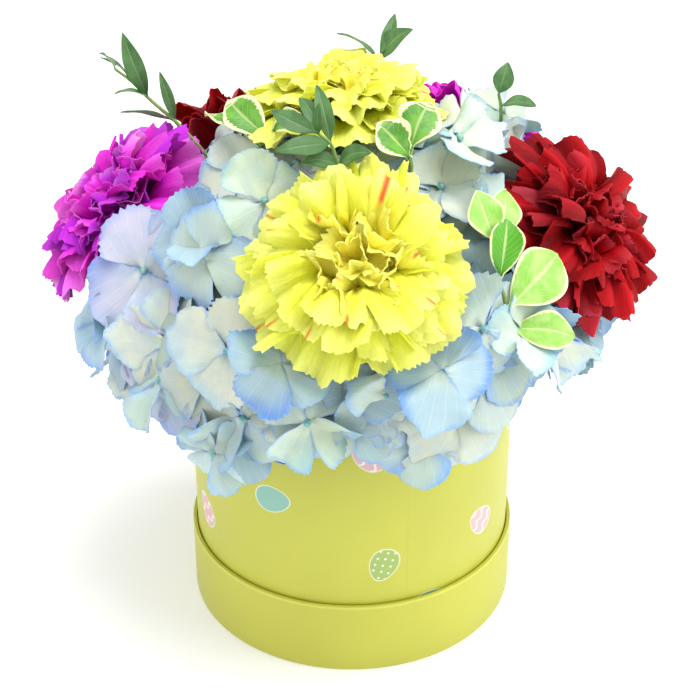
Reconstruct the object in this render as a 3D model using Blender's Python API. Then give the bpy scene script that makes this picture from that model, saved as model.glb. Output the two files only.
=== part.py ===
"""Flower hat box: a round paper box that stands in its upturned lid. A block of floral foam in a
liner holds the stems of a dome of hydrangea, carnations, eucalyptus and pittosporum.

Metres, +Z up. The origin is on the floor under the middle of the box, and -Y is the front.
Places in the dome are (azimuth, polar, reach): azimuth turns about Z from +X, polar leans away
from +Z, both in degrees, and reach is the distance from the dome's centre."""

import random
from collections import namedtuple
from math import acos, cos, degrees, pi, radians, sin, sqrt

import bmesh
import bpy
from mathutils import Matrix, Vector

# Box, lid, liner and foam
LID_RADIUS = 0.0600
LID_HEIGHT = 0.0285
BODY_RADIUS = 0.0582
BODY_TOP = 0.1080
BOARD = 0.0015
GAP = 0.0003
LINER_FILM = 0.0006
LINER_TOP = 0.1000
FOAM_TOP = 0.0930
ROUND_SIDES = 36
INNER_SIDES = 28

BODY_FLOOR = BOARD + GAP
LINER_FLOOR = BODY_FLOOR + BOARD + GAP
FOAM_FLOOR = LINER_FLOOR + LINER_FILM + GAP
LINER_RADIUS = BODY_RADIUS - BOARD - GAP
FOAM_RADIUS = LINER_RADIUS - LINER_FILM - GAP

# Stems stand in plain holes in the foam, and bend above it
HOLE_FLOOR = 0.0620
STRAIGHT = 0.0010
STEM_RISE = 0.0220
STEM_STEPS = 5
TWIG_BEND = 0.0300
TWIG_STEPS = 4
STEM_RADIUS = 0.0020
TWIG_RADIUS = 0.0008
STALK_RADIUS = 0.0032
STEM_SIDES = 5
TWIG_SIDES = 4
STALK_SIDES = 6

# The dome, and the florets' reach, which draws in over the rim of the box
DOME = Vector((0.0, 0.0, 0.101))
FLORET_REACH = 0.092
SKIRT_REACH = 0.072
SKIRT_POLARS = (72.0, 98.0)
CORE_REACH = 0.078
CORE_FLOOR = 0.1092
CORE_SIDES = 20
CORE_BANDS = 4
PEDICEL_ROOT = 0.074
PEDICEL_POLAR = 70.0
PEDICEL_RADIUS = 0.0011
WALL_CLEARANCE = 0.0018
WALL_ROOM_SIDES = 16

# Thin blades, and the room that is kept round them where they pass something else
PETAL_THICK = 0.0007
FLORET_THICK = 0.0008
LEAF_THICK = 0.0008
CLEARANCE = 0.0004
MERGE = 0.00001

# Carnations: place of the ring of outer petal tips, its radius, how deep the bloom is against
# a full one, where it faces, and the stem's place in the foam (azimuth, distance from the middle)
Bloom = namedtuple("Bloom", "colour ring radius depth facing foot")
BLOOMS = {
    "yellow_front": Bloom("yellow", (-89, 45, 0.096), 0.0385, 1.0, (-86, 43), (-88, 0.020)),
    "yellow_top": Bloom("yellow", (-110, 4, 0.095), 0.0310, 0.8, (90, 5), (60, 0.005)),
    "purple_left": Bloom("purple", (174, 59, 0.093), 0.0385, 1.0, (-177, 42), (176, 0.024)),
    "purple_back": Bloom("purple", (58, 66, 0.092), 0.0340, 1.0, (58, 58), (55, 0.026)),
    "red_right": Bloom("red", (2, 61, 0.093), 0.0380, 1.0, (2, 46), (0, 0.024)),
    "red_back": Bloom("red", (122, 66, 0.092), 0.0340, 1.0, (122, 58), (124, 0.026)),
}
# Blooms that press against each other stop at a plane between them
PRESSED = (
    ("yellow_front", "yellow_top"),
    ("purple_left", "red_back"),
    ("red_right", "purple_back"),
)

# A bloom's own sizes are for an outer radius of 39.5 mm: its origin is the top of the calyx
# and its +Z is where it faces
BLOOM_RADIUS = 0.0395
RING_HEIGHT = 0.0140
CALYX_LENGTH = 0.0220
CALYX = (
    (0.0, -0.0220), (0.0028, -0.0220), (0.0052, -0.0160), (0.0072, -0.0040), (0.0070, 0.0),
    (0.0, 0.0),
)
CALYX_SIDES = 6
HEART = ((0.0, 0.0003), (0.0070, 0.0003), (0.0070, 0.0160), (0.0, 0.0240))
HEART_SIDES = 6
Whorl = namedtuple("Whorl", "petals reach height bend_reach bend_height half_width")
WHORLS = (
    Whorl(7, 0.0395, 0.0125, 0.0140, 0.0140, 0.0155),
    Whorl(6, 0.0310, 0.0230, 0.0100, 0.0200, 0.0140),
    Whorl(5, 0.0200, 0.0310, 0.0060, 0.0220, 0.0095),
    Whorl(3, 0.0100, 0.0360, 0.0030, 0.0240, 0.0080),
)
# Share of a petal's length, number of points across it, share of its width, and its waviness
PETAL_ROWS = ((0.0, 1, 0.0, 0.0), (0.55, 2, 0.52, 0.0), (1.0, 5, 1.0, 1.0))
PETAL_ROOT = 0.0030
ROOT_STEP = 0.0030
TOOTH = 0.0012
WAVE = 0.0014
PETAL_LIFT = 0.0015
PETAL_TURN = 0.06
# Room that the florets leave round a bloom
ENVELOPE = (
    (0.0, -0.0240), (0.0090, -0.0220), (0.0090, 0.0), (0.0440, 0.0060), (0.0440, 0.0220),
    (0.0, 0.0480),
)
ENVELOPE_SIDES = 8

# Hydrangea heads: the sector that each fills, and the place of its stalk
HEADS = {
    "front_left": ((-188, -89), (-138, 0.034)),
    "front_right": ((-89, 5), (-42, 0.034)),
    "back_right": ((5, 89), (27, 0.036)),
    "back_left": ((89, 172), (150, 0.036)),
}
# Florets that the front shows one by one: azimuth, polar, reach, radius
FRONT_FLORETS = (
    (-138, 44, 0.095, 0.0170), (-130, 48, 0.093, 0.0155), (-137, 69, 0.095, 0.0165),
    (-157, 74, 0.096, 0.0165), (-154, 83, 0.094, 0.0160), (-134, 81, 0.091, 0.0160),
    (-118, 64, 0.095, 0.0175), (-104, 63, 0.095, 0.0165), (-114, 79, 0.092, 0.0165),
    (-101, 75, 0.092, 0.0160), (-90, 76, 0.092, 0.0155), (-83, 70, 0.094, 0.0160),
    (-72, 65, 0.095, 0.0160), (-72, 79, 0.090, 0.0160), (-74, 88, 0.086, 0.0155),
    (-60, 60, 0.096, 0.0180), (-56, 76, 0.091, 0.0160), (-37, 69, 0.096, 0.0185),
    (-33, 80, 0.090, 0.0165), (-34, 41, 0.092, 0.0150), (35, 28, 0.092, 0.0165),
    (31, 38, 0.092, 0.0160), (-29, 24, 0.092, 0.0160), (22, 45, 0.092, 0.0160),
    (-144, 29, 0.093, 0.0165), (-121, 34, 0.093, 0.0160), (176, 24, 0.092, 0.0165),
    (150, 40, 0.092, 0.0160), (-178, 84, 0.092, 0.0165), (-48, 29, 0.092, 0.0150),
    (-90, 24, 0.092, 0.0120), (-14, 80, 0.090, 0.0165),
)
# The floret that lies over the edge of a bloom
OVER_FLORETS = {"purple_left": (-149, 57, 0.098, 0.0185)}
OVER_ROOM = (0.0025, 0.0300)
OVER_SIDES = 8
FLORET_RADIUS = 0.0195
FLORET_SPACING = 0.0225
LATTICE_POINTS = 100
LATTICE_POLARS = (14.0, 88.0)
BLOOM_ROOM = 1.05
LEVELS = (-0.0045, -0.0015, 0.0015, 0.0045)
SEPAL_OUTLINE = ((-45, 0.50), (-23, 0.98), (23, 0.98))
SEPAL_LIFT = 0.0006
SEPAL_SPREAD = (0.94, 1.04)
FLORET_LEAN = 3.0
FLORET_STEEPEST = 84.0

# Sprigs: the place of the stem's foot in the foam, the path of its free end, and its leaves
# (number of the path's point that it grows from, tip, width, turn about its length)
Sprig = namedtuple("Sprig", "kind foot path leaves")
SPRIGS = {
    "eucalyptus_front": Sprig("eucalyptus", (-130, 0.012), (
        (-96, 24, 0.0960), (-98, 23, 0.0985), (-100, 22, 0.1020), (-105, 22, 0.1060)), (
        (0, (-83, 27, 0.1030), 0.0060, 0), (0, (-110, 27, 0.1020), 0.0052, 0),
        (2, (-112, 15, 0.1140), 0.0050, 0), (2, (-118, 28, 0.1080), 0.0064, 0),
        (3, (-130, 21, 0.1100), 0.0058, 0), (3, (-124, 16, 0.1090), 0.0046, 0),
        (3, (-105, 20, 0.1160), 0.0030, 0))),
    "eucalyptus_back_left": Sprig("eucalyptus", (165, 0.012), (
        (157, 42, 0.1000), (160, 42, 0.1120), (161, 42, 0.1200), (163, 42, 0.1270)), (
        (0, (155, 39, 0.1170), 0.0036, 20), (0, (165, 46, 0.1150), 0.0022, 70),
        (1, (158, 39, 0.1350), 0.0062, 10), (1, (168, 43, 0.1210), 0.0044, 0),
        (2, (162, 43, 0.1330), 0.0030, 60), (3, (166, 41, 0.1345), 0.0046, 0))),
    "eucalyptus_back_top": Sprig("eucalyptus", (75, 0.013), (
        (70, 18, 0.0950), (68, 14, 0.1010), (66, 13, 0.1030)), (
        (1, (101, 14, 0.1100), 0.0036, 30), (2, (66, 18, 0.1170), 0.0040, 0),
        (1, (46, 15, 0.1140), 0.0080, 0))),
    "eucalyptus_right": Sprig("eucalyptus", (20, 0.013), (
        (27, 38, 0.0950), (27, 36, 0.0990), (27, 34, 0.1020)), (
        (2, (29, 33, 0.1130), 0.0052, 0), (1, (18, 39, 0.1060), 0.0048, 0))),
    "pittosporum_left": Sprig("pittosporum", (-165, 0.013), (
        (-150, 24, 0.0940), (-150, 22, 0.0965), (-152, 21, 0.0980)), (
        (1, (-172, 26, 0.1040), 0.0096, 0), (0, (179, 30, 0.1030), 0.0060, 30),
        (2, (-136, 12, 0.1040), 0.0080, 0))),
    "pittosporum_right": Sprig("pittosporum", (-50, 0.014), (
        (-56, 23, 0.0940), (-54, 22, 0.0965), (-52, 21, 0.0980)), (
        (1, (-66, 17, 0.1020), 0.0100, 0), (2, (-28, 17, 0.1040), 0.0100, 0))),
    "pittosporum_side": Sprig("pittosporum", (-54, 0.027), (
        (-52, 62, 0.0900), (-52, 58, 0.0930), (-52, 52, 0.0950), (-50, 46, 0.0970)), (
        (0, (-40, 68, 0.0960), 0.0100, 0), (1, (-34, 54, 0.1000), 0.0150, 0),
        (2, (-44, 43, 0.1040), 0.0090, 30), (3, (-44, 37, 0.1040), 0.0080, 20),
        (3, (-36, 40, 0.1010), 0.0080, 0))),
    "pittosporum_rear": Sprig("pittosporum", (88, 0.024), (
        (86, 66, 0.0920), (86, 62, 0.0960), (87, 58, 0.0980)), (
        (0, (74, 74, 0.1000), 0.0110, 0), (0, (99, 74, 0.1000), 0.0110, 0),
        (1, (72, 63, 0.1040), 0.0110, 0), (1, (101, 61, 0.1040), 0.0110, 0),
        (2, (86, 49, 0.1060), 0.0110, 0))),
}
# Share of a leaf's length, share of its width, and number of points across it
LEAF_ROWS = {
    "eucalyptus": ((0.0, 0.0, 1), (0.28, 0.85, 3), (0.62, 0.92, 3), (1.0, 0.0, 1)),
    "pittosporum": ((0.0, 0.0, 1), (0.36, 0.75, 3), (0.78, 1.0, 3), (1.0, 0.0, 1)),
}
LEAF_ARCH = 0.10
LEAF_FOLD = 0.22
LEAF_WAVE = {"eucalyptus": 0.0, "pittosporum": 0.0005}

COLOURS = {
    "lid_paper": ((0.69, 0.66, 0.10), 0.5),
    "box_paper": ((0.72, 0.69, 0.13), 0.5),
    "liner_film": ((0.80, 0.82, 0.80), 0.25),
    "foam": ((0.05, 0.16, 0.06), 0.95),
    "hydrangea": ((0.62, 0.74, 0.88), 0.6),
    "stem": ((0.14, 0.30, 0.07), 0.6),
    "yellow_petal": ((0.88, 0.84, 0.10), 0.6),
    "purple_petal": ((0.42, 0.02, 0.42), 0.6),
    "red_petal": ((0.42, 0.01, 0.02), 0.55),
    "eucalyptus_leaf": ((0.10, 0.24, 0.08), 0.5),
    "pittosporum_leaf": ((0.25, 0.45, 0.06), 0.4),
}


# Scene and objects

def clear_scene():
    for thing in list(bpy.data.objects):
        bpy.data.objects.remove(thing, do_unlink=True)


def material(name):
    """The Principled material of one finish, made the first time it is asked for."""
    if name in bpy.data.materials:
        return bpy.data.materials[name]
    colour, roughness = COLOURS[name]
    finish = bpy.data.materials.new(name)
    finish.use_nodes = True
    shader = finish.node_tree.nodes["Principled BSDF"]
    shader.inputs["Base Color"].default_value = (*colour, 1.0)
    shader.inputs["Roughness"].default_value = roughness
    shader.inputs["Metallic"].default_value = 0.0
    return finish


def add_object(name, shape, collection=None):
    """Puts a bmesh in the scene as an object, and frees the bmesh."""
    mesh = bpy.data.meshes.new(name)
    shape.to_mesh(mesh)
    shape.free()
    thing = bpy.data.objects.new(name, mesh)
    (collection or bpy.context.scene.collection).objects.link(thing)
    return thing


def add_node(name, shape, finish):
    """One sub-part of the object with its material, smooth apart from its sharp edges."""
    thing = add_object(name, shape)
    thing.data.materials.append(material(finish))
    thing.data.shade_smooth()
    thing.data.set_sharp_from_angle(angle=radians(35))
    return thing


def combine(thing, operation, shapes):
    """Applies one Boolean of a collection of shapes to an object, and removes the collection."""
    others = bpy.data.collections.new("others")
    bpy.context.scene.collection.children.link(others)
    for number, shape in enumerate(shapes):
        add_object(f"other_{number}", shape, others)
    step = thing.modifiers.new("Combine", "BOOLEAN")
    step.operation = operation
    step.operand_type = "COLLECTION"
    step.collection = others
    step.solver = "MANIFOLD"
    depsgraph = bpy.context.evaluated_depsgraph_get()
    result = bpy.data.meshes.new_from_object(thing.evaluated_get(depsgraph))
    thing.modifiers.clear()
    thing.data = result
    for other in list(others.objects):
        bpy.data.objects.remove(other, do_unlink=True)
    bpy.data.collections.remove(others)


def keep_one_body(thing):
    """Drops loose scraps and sealed hollows: only the body with the largest volume stays."""
    shape = bmesh.new()
    shape.from_mesh(thing.data)
    bmesh.ops.triangulate(shape, faces=shape.faces)
    bodies, seen = [], set()
    for start in shape.faces:
        if start in seen:
            continue
        seen.add(start)
        body, volume = [start], 0.0
        for face in body:
            corners = [vertex.co for vertex in face.verts]
            volume += corners[0].dot(corners[1].cross(corners[2]))
            for edge in face.edges:
                for beside in edge.link_faces:
                    if beside not in seen:
                        seen.add(beside)
                        body.append(beside)
        bodies.append((volume, body))
    bodies.sort(key=lambda pair: pair[0])
    for _, body in bodies[:-1]:
        bmesh.ops.delete(shape, geom=body, context="FACES")
    shape.to_mesh(thing.data)
    shape.free()


def fused(name, shapes, finish, cutters=()):
    """A node of overlapping shapes joined in one body, cut clear of its neighbours."""
    thing = add_node(name, shapes[0], finish)
    combine(thing, "UNION", shapes[1:])
    if cutters:
        combine(thing, "DIFFERENCE", cutters)
    keep_one_body(thing)
    thing.data.materials.clear()
    thing.data.materials.append(material(finish))
    thing.data.shade_flat()
    return thing


# Geometry

def heading(azimuth, polar):
    """Unit vector that turns azimuth degrees about Z and leans polar degrees away from it."""
    turn, lean = radians(azimuth), radians(polar)
    return Vector((sin(lean) * cos(turn), sin(lean) * sin(turn), cos(lean)))


def place(azimuth, polar, reach):
    return DOME + reach * heading(azimuth, polar)


def foot_place(foot, height):
    azimuth, distance = foot
    return Vector((distance * cos(radians(azimuth)), distance * sin(radians(azimuth)), height))


def standing(point, axis, spin=0.0):
    """Matrix that stands a shape at a point with its +Z along an axis."""
    turn = axis.to_track_quat("Z", "Y").to_matrix().to_4x4()
    return Matrix.Translation(point) @ turn @ Matrix.Rotation(spin, 4, "Z")


def turned(profile, sides=ROUND_SIDES, ring=False):
    """A solid turned about Z from (radius, height) points; a ring's profile closes on itself."""
    shape = bmesh.new()
    points = [shape.verts.new((radius, 0.0, height)) for radius, height in profile]
    edges = [shape.edges.new(pair) for pair in zip(points, points[1:])]
    if ring:
        edges.append(shape.edges.new((points[-1], points[0])))
    bmesh.ops.spin(shape, geom=points + edges, cent=(0, 0, 0), axis=(0, 0, 1),
                   angle=2 * pi, steps=sides)
    bmesh.ops.remove_doubles(shape, verts=shape.verts, dist=MERGE)
    bmesh.ops.recalc_face_normals(shape, faces=shape.faces)
    return shape


def tube(points, radius, sides):
    """A closed tube along points, with flat ends."""
    shape = bmesh.new()
    rings = []
    ahead = (points[1] - points[0]).normalized()
    turn = Vector((0, 0, 1)).rotation_difference(ahead)
    for number, point in enumerate(points):
        before = points[max(number - 1, 0)]
        after = points[min(number + 1, len(points) - 1)]
        onward = (after - before).normalized()
        turn = ahead.rotation_difference(onward) @ turn
        ahead = onward
        corners = [Vector((radius * cos(2 * pi * k / sides), radius * sin(2 * pi * k / sides), 0))
                   for k in range(sides)]
        rings.append([shape.verts.new(point + turn @ corner) for corner in corners])
    for lower, upper in zip(rings, rings[1:]):
        for k in range(sides):
            beside = (k + 1) % sides
            shape.faces.new((lower[k], lower[beside], upper[beside], upper[k]))
    shape.faces.new(reversed(rings[0]))
    shape.faces.new(rings[-1])
    return shape


def strip(near, far):
    """Triangles between two rows of vertices, however many each row has."""
    first = second = 0
    while first < len(near) - 1 or second < len(far) - 1:
        near_share = (first + 1) / (len(near) - 1) if first < len(near) - 1 else 2.0
        far_share = (second + 1) / (len(far) - 1) if second < len(far) - 1 else 2.0
        if far_share <= near_share:
            yield near[first], far[second + 1], far[second]
            second += 1
        else:
            yield near[first], near[first + 1], far[second]
            first += 1


def thickened(sheet, thickness):
    """A closed thin solid on both sides of a sheet, with the same triangles on both faces."""
    sheet.normal_update()
    sheet.verts.index_update()
    middles = [(vertex.co.copy(), vertex.normal * thickness / 2) for vertex in sheet.verts]
    triangles = [[vertex.index for vertex in face.verts] for face in sheet.faces]
    rim = [[loop.vert.index, loop.link_loop_next.vert.index]
           for edge in sheet.edges if edge.is_boundary for loop in edge.link_loops]
    sheet.free()
    shape = bmesh.new()
    upper = [shape.verts.new(middle + offset) for middle, offset in middles]
    lower = [shape.verts.new(middle - offset) for middle, offset in middles]
    for corners in triangles:
        shape.faces.new([upper[index] for index in corners])
        shape.faces.new([lower[index] for index in reversed(corners)])
    for start, end in rim:
        shape.faces.new((upper[end], upper[start], lower[start]))
        shape.faces.new((upper[end], lower[start], lower[end]))
    return shape


def blade(rows, thickness):
    """A thin solid over rows of points."""
    sheet = bmesh.new()
    lines = [[sheet.verts.new(point) for point in row] for row in rows]
    for near, far in zip(lines, lines[1:]):
        for corners in strip(near, far):
            sheet.faces.new(corners)
    return thickened(sheet, thickness)


def bezier(points, share):
    """Point on a Bezier curve of any degree."""
    while len(points) > 1:
        points = [a.lerp(b, share) for a, b in zip(points, points[1:])]
    return points[0]


def half_space(point, outwards):
    """A large block on the side of a plane that outwards points to."""
    size = 0.4
    shape = bmesh.new()
    bmesh.ops.create_cube(shape, size=size)
    shape.transform(standing(point + outwards * size / 2, outwards))
    return shape


# Box, lid, liner and foam

def build_lid():
    inner = LID_RADIUS - BOARD
    rim = turned(((inner, 0), (LID_RADIUS, 0), (LID_RADIUS, LID_HEIGHT), (inner, LID_HEIGHT)),
                 ring=True)
    add_node("lid_rim", rim, "lid_paper")
    radius = inner - GAP
    disc = turned(((0, 0), (radius, 0), (radius, BOARD), (0, BOARD)), INNER_SIDES)
    add_node("lid_disc", disc, "lid_paper")


def build_body():
    inner = BODY_RADIUS - BOARD
    wall = turned(((inner, BODY_FLOOR), (BODY_RADIUS, BODY_FLOOR),
                   (BODY_RADIUS, BODY_TOP), (inner, BODY_TOP)), ring=True)
    add_node("box_wall", wall, "box_paper")
    radius, top = inner - GAP, BODY_FLOOR + BOARD
    disc = turned(((0, BODY_FLOOR), (radius, BODY_FLOOR), (radius, top), (0, top)), INNER_SIDES)
    add_node("box_disc", disc, "box_paper")


def build_liner():
    inner, floor = LINER_RADIUS - LINER_FILM, LINER_FLOOR + LINER_FILM
    cup = turned(((0, LINER_FLOOR), (LINER_RADIUS, LINER_FLOOR), (LINER_RADIUS, LINER_TOP),
                  (inner, LINER_TOP), (inner, floor), (0, floor)), INNER_SIDES)
    add_node("liner", cup, "liner_film")


def build_foam():
    """The foam block, with a plain round hole for every stem."""
    holes = []
    for foot, radius, sides in stem_feet():
        low = foot_place(foot, HOLE_FLOOR - GAP)
        high = foot_place(foot, FOAM_TOP + 0.01)
        holes.append(tube([low, high], (radius + GAP) / cos(pi / sides), sides))
    profile = ((0, FOAM_FLOOR), (FOAM_RADIUS, FOAM_FLOOR), (FOAM_RADIUS, FOAM_TOP), (0, FOAM_TOP))
    foam = add_node("foam", turned(profile, INNER_SIDES), "foam")
    combine(foam, "DIFFERENCE", holes)
    keep_one_body(foam)


def stem_feet():
    """Foot, radius and number of sides of every stem."""
    for _, foot in HEADS.values():
        yield foot, STALK_RADIUS, STALK_SIDES
    for bloom in BLOOMS.values():
        yield bloom.foot, STEM_RADIUS, STEM_SIDES
    for sprig in SPRIGS.values():
        yield sprig.foot, TWIG_RADIUS, TWIG_SIDES


# Carnations

def bloom_frame(bloom):
    """Matrix from a bloom's own frame to the world, with its size."""
    axis = heading(*bloom.facing)
    scale = bloom.radius / BLOOM_RADIUS
    rise = scale * bloom.depth
    top = place(*bloom.ring) - axis * RING_HEIGHT * rise
    return standing(top, axis) @ Matrix.Diagonal((scale, scale, rise, 1))


def bloom_stem(bloom):
    """The stem's points, from inside the calyx down to the bottom of its hole."""
    frame = bloom_frame(bloom)
    start = frame @ Vector((0, 0, -CALYX_LENGTH * 0.8))
    bend = frame @ Vector((0, 0, -CALYX_LENGTH * 1.7))
    rise = foot_place(bloom.foot, FOAM_TOP + STEM_RISE)
    entry = foot_place(bloom.foot, FOAM_TOP + STRAIGHT)
    points = [bezier([start, bend, rise, entry], step / STEM_STEPS)
              for step in range(STEM_STEPS + 1)]
    return points + [foot_place(bloom.foot, HOLE_FLOOR)]


def petal(whorl, root, turn, lift):
    """A fan-shaped blade: it rises from the heart, bends outwards and ends in a toothed edge."""
    spine = [Vector((PETAL_ROOT, root)), Vector((whorl.bend_reach, whorl.bend_height)),
             Vector((whorl.reach, whorl.height + lift))]
    rows = []
    for share, count, breadth, waviness in PETAL_ROWS:
        reach, height = bezier(spine, share)
        row = []
        for column in range(count):
            across = 2 * column / (count - 1) - 1 if count > 1 else 0.0
            sway = waviness * (-1) ** column
            angle = turn + across * breadth * whorl.half_width / max(reach, whorl.half_width * 0.5)
            radius = reach - sway * TOOTH
            row.append(Vector((radius * cos(angle), radius * sin(angle), height + sway * WAVE)))
        rows.append(row)
    return blade(rows, PETAL_THICK)


def pressed_cutters(name):
    """Half-spaces that keep a bloom on its own side of the planes between pressed blooms."""
    for pair in PRESSED:
        if name in pair:
            other = pair[1 - pair.index(name)]
            here, there = place(*BLOOMS[name].ring), place(*BLOOMS[other].ring)
            share = BLOOMS[name].radius / (BLOOMS[name].radius + BLOOMS[other].radius)
            outwards = (there - here).normalized()
            yield half_space(here.lerp(there, share) - outwards * GAP / 2, outwards)


def build_bloom(name, bloom, draws):
    frame = bloom_frame(bloom)
    shapes = [turned(HEART, HEART_SIDES)]
    for level, whorl in enumerate(WHORLS):
        for number in range(whorl.petals):
            turn = 2 * pi * (number + 0.5 * (level % 2)) / whorl.petals
            turn += draws.uniform(-PETAL_TURN, PETAL_TURN)
            lift = PETAL_LIFT * (-1) ** number
            shapes.append(petal(whorl, ROOT_STEP * (level + 0.5), turn, lift))
    for shape in shapes:
        shape.transform(frame)
    cutters = [*pressed_cutters(name), *sprig_cutters()]
    if name in OVER_FLORETS:
        cutters.append(over_room(OVER_FLORETS[name]))
    fused(f"{name}_petals", shapes, f"{bloom.colour}_petal", cutters)
    calyx = turned(CALYX, CALYX_SIDES)
    calyx.transform(frame)
    stem = tube(bloom_stem(bloom), STEM_RADIUS, STEM_SIDES)
    fused(f"{name}_stem", [calyx, stem], "stem")


def over_room(spot):
    """Room through a bloom for the floret that lies over its edge."""
    azimuth, polar, reach, radius = spot
    below, above = OVER_ROOM
    ends = [place(azimuth, polar, reach - below), place(azimuth, polar, reach + above)]
    return tube(ends, radius + CLEARANCE, OVER_SIDES)


def bloom_cutters():
    """Room for every carnation and its stem."""
    for name, bloom in BLOOMS.items():
        shape = turned(ENVELOPE, ENVELOPE_SIDES)
        shape.transform(bloom_frame(bloom))
        if name in OVER_FLORETS:
            envelope = add_object("envelope", shape)
            combine(envelope, "DIFFERENCE", [over_room(OVER_FLORETS[name])])
            shape = bmesh.new()
            shape.from_mesh(envelope.data)
            bpy.data.objects.remove(envelope, do_unlink=True)
        yield shape
        yield tube(bloom_stem(bloom), STEM_RADIUS + CLEARANCE, STEM_SIDES)


# Eucalyptus and pittosporum

def leaf(kind, base, tip, width, roll, room=0.0):
    """An arched leaf from base to tip; room makes the same leaf fatter all round."""
    along = (tip - base).normalized()
    base, tip = base - along * room, tip + along * room
    out = (base.lerp(tip, 0.5) - DOME).normalized()
    side = along.cross(out).normalized()
    side.rotate(Matrix.Rotation(radians(roll), 3, along))
    out = side.cross(along)
    length = (tip - base).length
    rows = []
    for number, (share, breadth, count) in enumerate(LEAF_ROWS[kind]):
        middle = base.lerp(tip, share) + out * LEAF_ARCH * length * 4 * share * (1 - share)
        half = (width / 2 + room) * breadth
        wave = LEAF_WAVE[kind] * (-1) ** number
        row = []
        for column in range(count):
            across = column - (count - 1) / 2
            lift = abs(across) * (LEAF_FOLD * half + wave)
            row.append(middle + side * across * half + out * lift)
        rows.append(row)
    return blade(rows, LEAF_THICK + 2 * room)


def sprig_stem(sprig):
    """The stem's points, from the bottom of its hole to its free end."""
    path = [place(*point) for point in sprig.path]
    start = foot_place(sprig.foot, FOAM_TOP + STRAIGHT)
    rise = start + Vector((0, 0, TWIG_BEND))
    onward = (path[1] - path[0]).normalized()
    outward = (path[0] - DOME).normalized()
    bend = path[0] - (onward + outward).normalized() * TWIG_BEND
    points = [bezier([start, rise, bend, path[0]], step / TWIG_STEPS)
              for step in range(TWIG_STEPS + 1)]
    return [foot_place(sprig.foot, HOLE_FLOOR)] + points + path[1:]


def sprig_shapes(sprig, room=0.0):
    """The stem and leaves of a sprig; room makes the same shapes fatter all round."""
    shapes = [tube(sprig_stem(sprig), TWIG_RADIUS + room, TWIG_SIDES)]
    for joint, tip, width, roll in sprig.leaves:
        base = place(*sprig.path[joint])
        shapes.append(leaf(sprig.kind, base, place(*tip), width, roll, room))
    return shapes


def sprig_cutters():
    for sprig in SPRIGS.values():
        yield from sprig_shapes(sprig, CLEARANCE)


def build_sprig(name, sprig):
    fused(name, sprig_shapes(sprig), f"{sprig.kind}_leaf")


# Hydrangea

def floret_reach(polar):
    """Distance of a floret from the dome's centre: it draws in over the rim of the box."""
    start, end = SKIRT_POLARS
    share = min(max((polar - start) / (end - start), 0.0), 1.0)
    share = share * share * (3 - 2 * share)
    return FLORET_REACH + (SKIRT_REACH - FLORET_REACH) * share


def turn_between(first, second):
    """Angle in radians between two (azimuth, polar) directions."""
    return heading(*first[:2]).angle(heading(*second[:2]))


def lattice_florets():
    """Florets of an even spiral lattice, wherever the front's own florets and blooms leave room."""
    golden_turn = 180 * (3 - sqrt(5))
    spacing = FLORET_SPACING / FLORET_REACH
    top, bottom = (cos(radians(polar)) for polar in LATTICE_POLARS)
    placed = [*FRONT_FLORETS, *OVER_FLORETS.values()]
    spots = list(placed)
    for number in range(LATTICE_POINTS):
        polar = degrees(acos(top + (bottom - top) * (number + 0.5) / LATTICE_POINTS))
        spot = (number * golden_turn, polar, floret_reach(polar), FLORET_RADIUS)
        near_front = any(turn_between(spot, other) < spacing for other in placed)
        near_bloom = any(turn_between(spot, bloom.ring) < BLOOM_ROOM * bloom.radius / FLORET_REACH
                         for bloom in BLOOMS.values())
        if not near_front and not near_bloom:
            spots.append(spot)
    return spots


def floret_levels(spots):
    """Height above or below the dome for each floret, unlike the florets that it lies beside."""
    levels = []
    for spot in spots:
        beside = [level for other, level in zip(spots, levels)
                  if turn_between(spot, other) * FLORET_REACH < spot[3] + other[3]]
        levels.append(max(LEVELS, key=lambda level: min(
            (abs(level - other) for other in beside), default=-abs(level))))
    return levels


def sector_of(azimuth):
    """Name of the head whose sector holds an azimuth."""
    for name, ((start, end), _) in HEADS.items():
        if (azimuth - start) % 360 < end - start:
            return name
    raise ValueError(f"no sector holds azimuth {azimuth}")


def floret(radius, reach, draws):
    """Four rounded sepals in one thin plate that follows the dome, with a fan of triangles."""
    sheet = bmesh.new()
    middle = sheet.verts.new((0, 0, 0))
    ring = []
    for sepal in range(4):
        lift = SEPAL_LIFT * (-1) ** sepal
        for angle, share in SEPAL_OUTLINE:
            turn = radians(90 * sepal + angle)
            edge = radius * share * draws.uniform(*SEPAL_SPREAD)
            dip = -edge * edge / (2 * reach)
            rise = lift if share > 0.6 else 0.0
            ring.append(sheet.verts.new((edge * cos(turn), edge * sin(turn), dip + rise)))
    for number, corner in enumerate(ring):
        sheet.faces.new((middle, corner, ring[(number + 1) % len(ring)]))
    return thickened(sheet, FLORET_THICK)


def head_core():
    """The branching core as a ball with a flat underside, before its sector is cut from it."""
    floor = CORE_FLOOR - DOME.z
    lowest = sqrt(CORE_REACH ** 2 - floor ** 2)
    start = Vector((0, 1)).angle(Vector((lowest, floor)))
    arc = [start * step / CORE_BANDS for step in range(CORE_BANDS, 0, -1)]
    profile = [(0, CORE_FLOOR)]
    profile += [(CORE_REACH * sin(angle), DOME.z + CORE_REACH * cos(angle)) for angle in arc]
    profile += [(0, DOME.z + CORE_REACH)]
    return turned(profile, CORE_SIDES)


def sector_cutters(sector):
    """Half-spaces on both sides of a head's sector."""
    for azimuth, side in zip(sector, (-90, 90)):
        outwards = heading(azimuth + side, 90)
        yield half_space(-outwards * GAP / 2, outwards)


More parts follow.
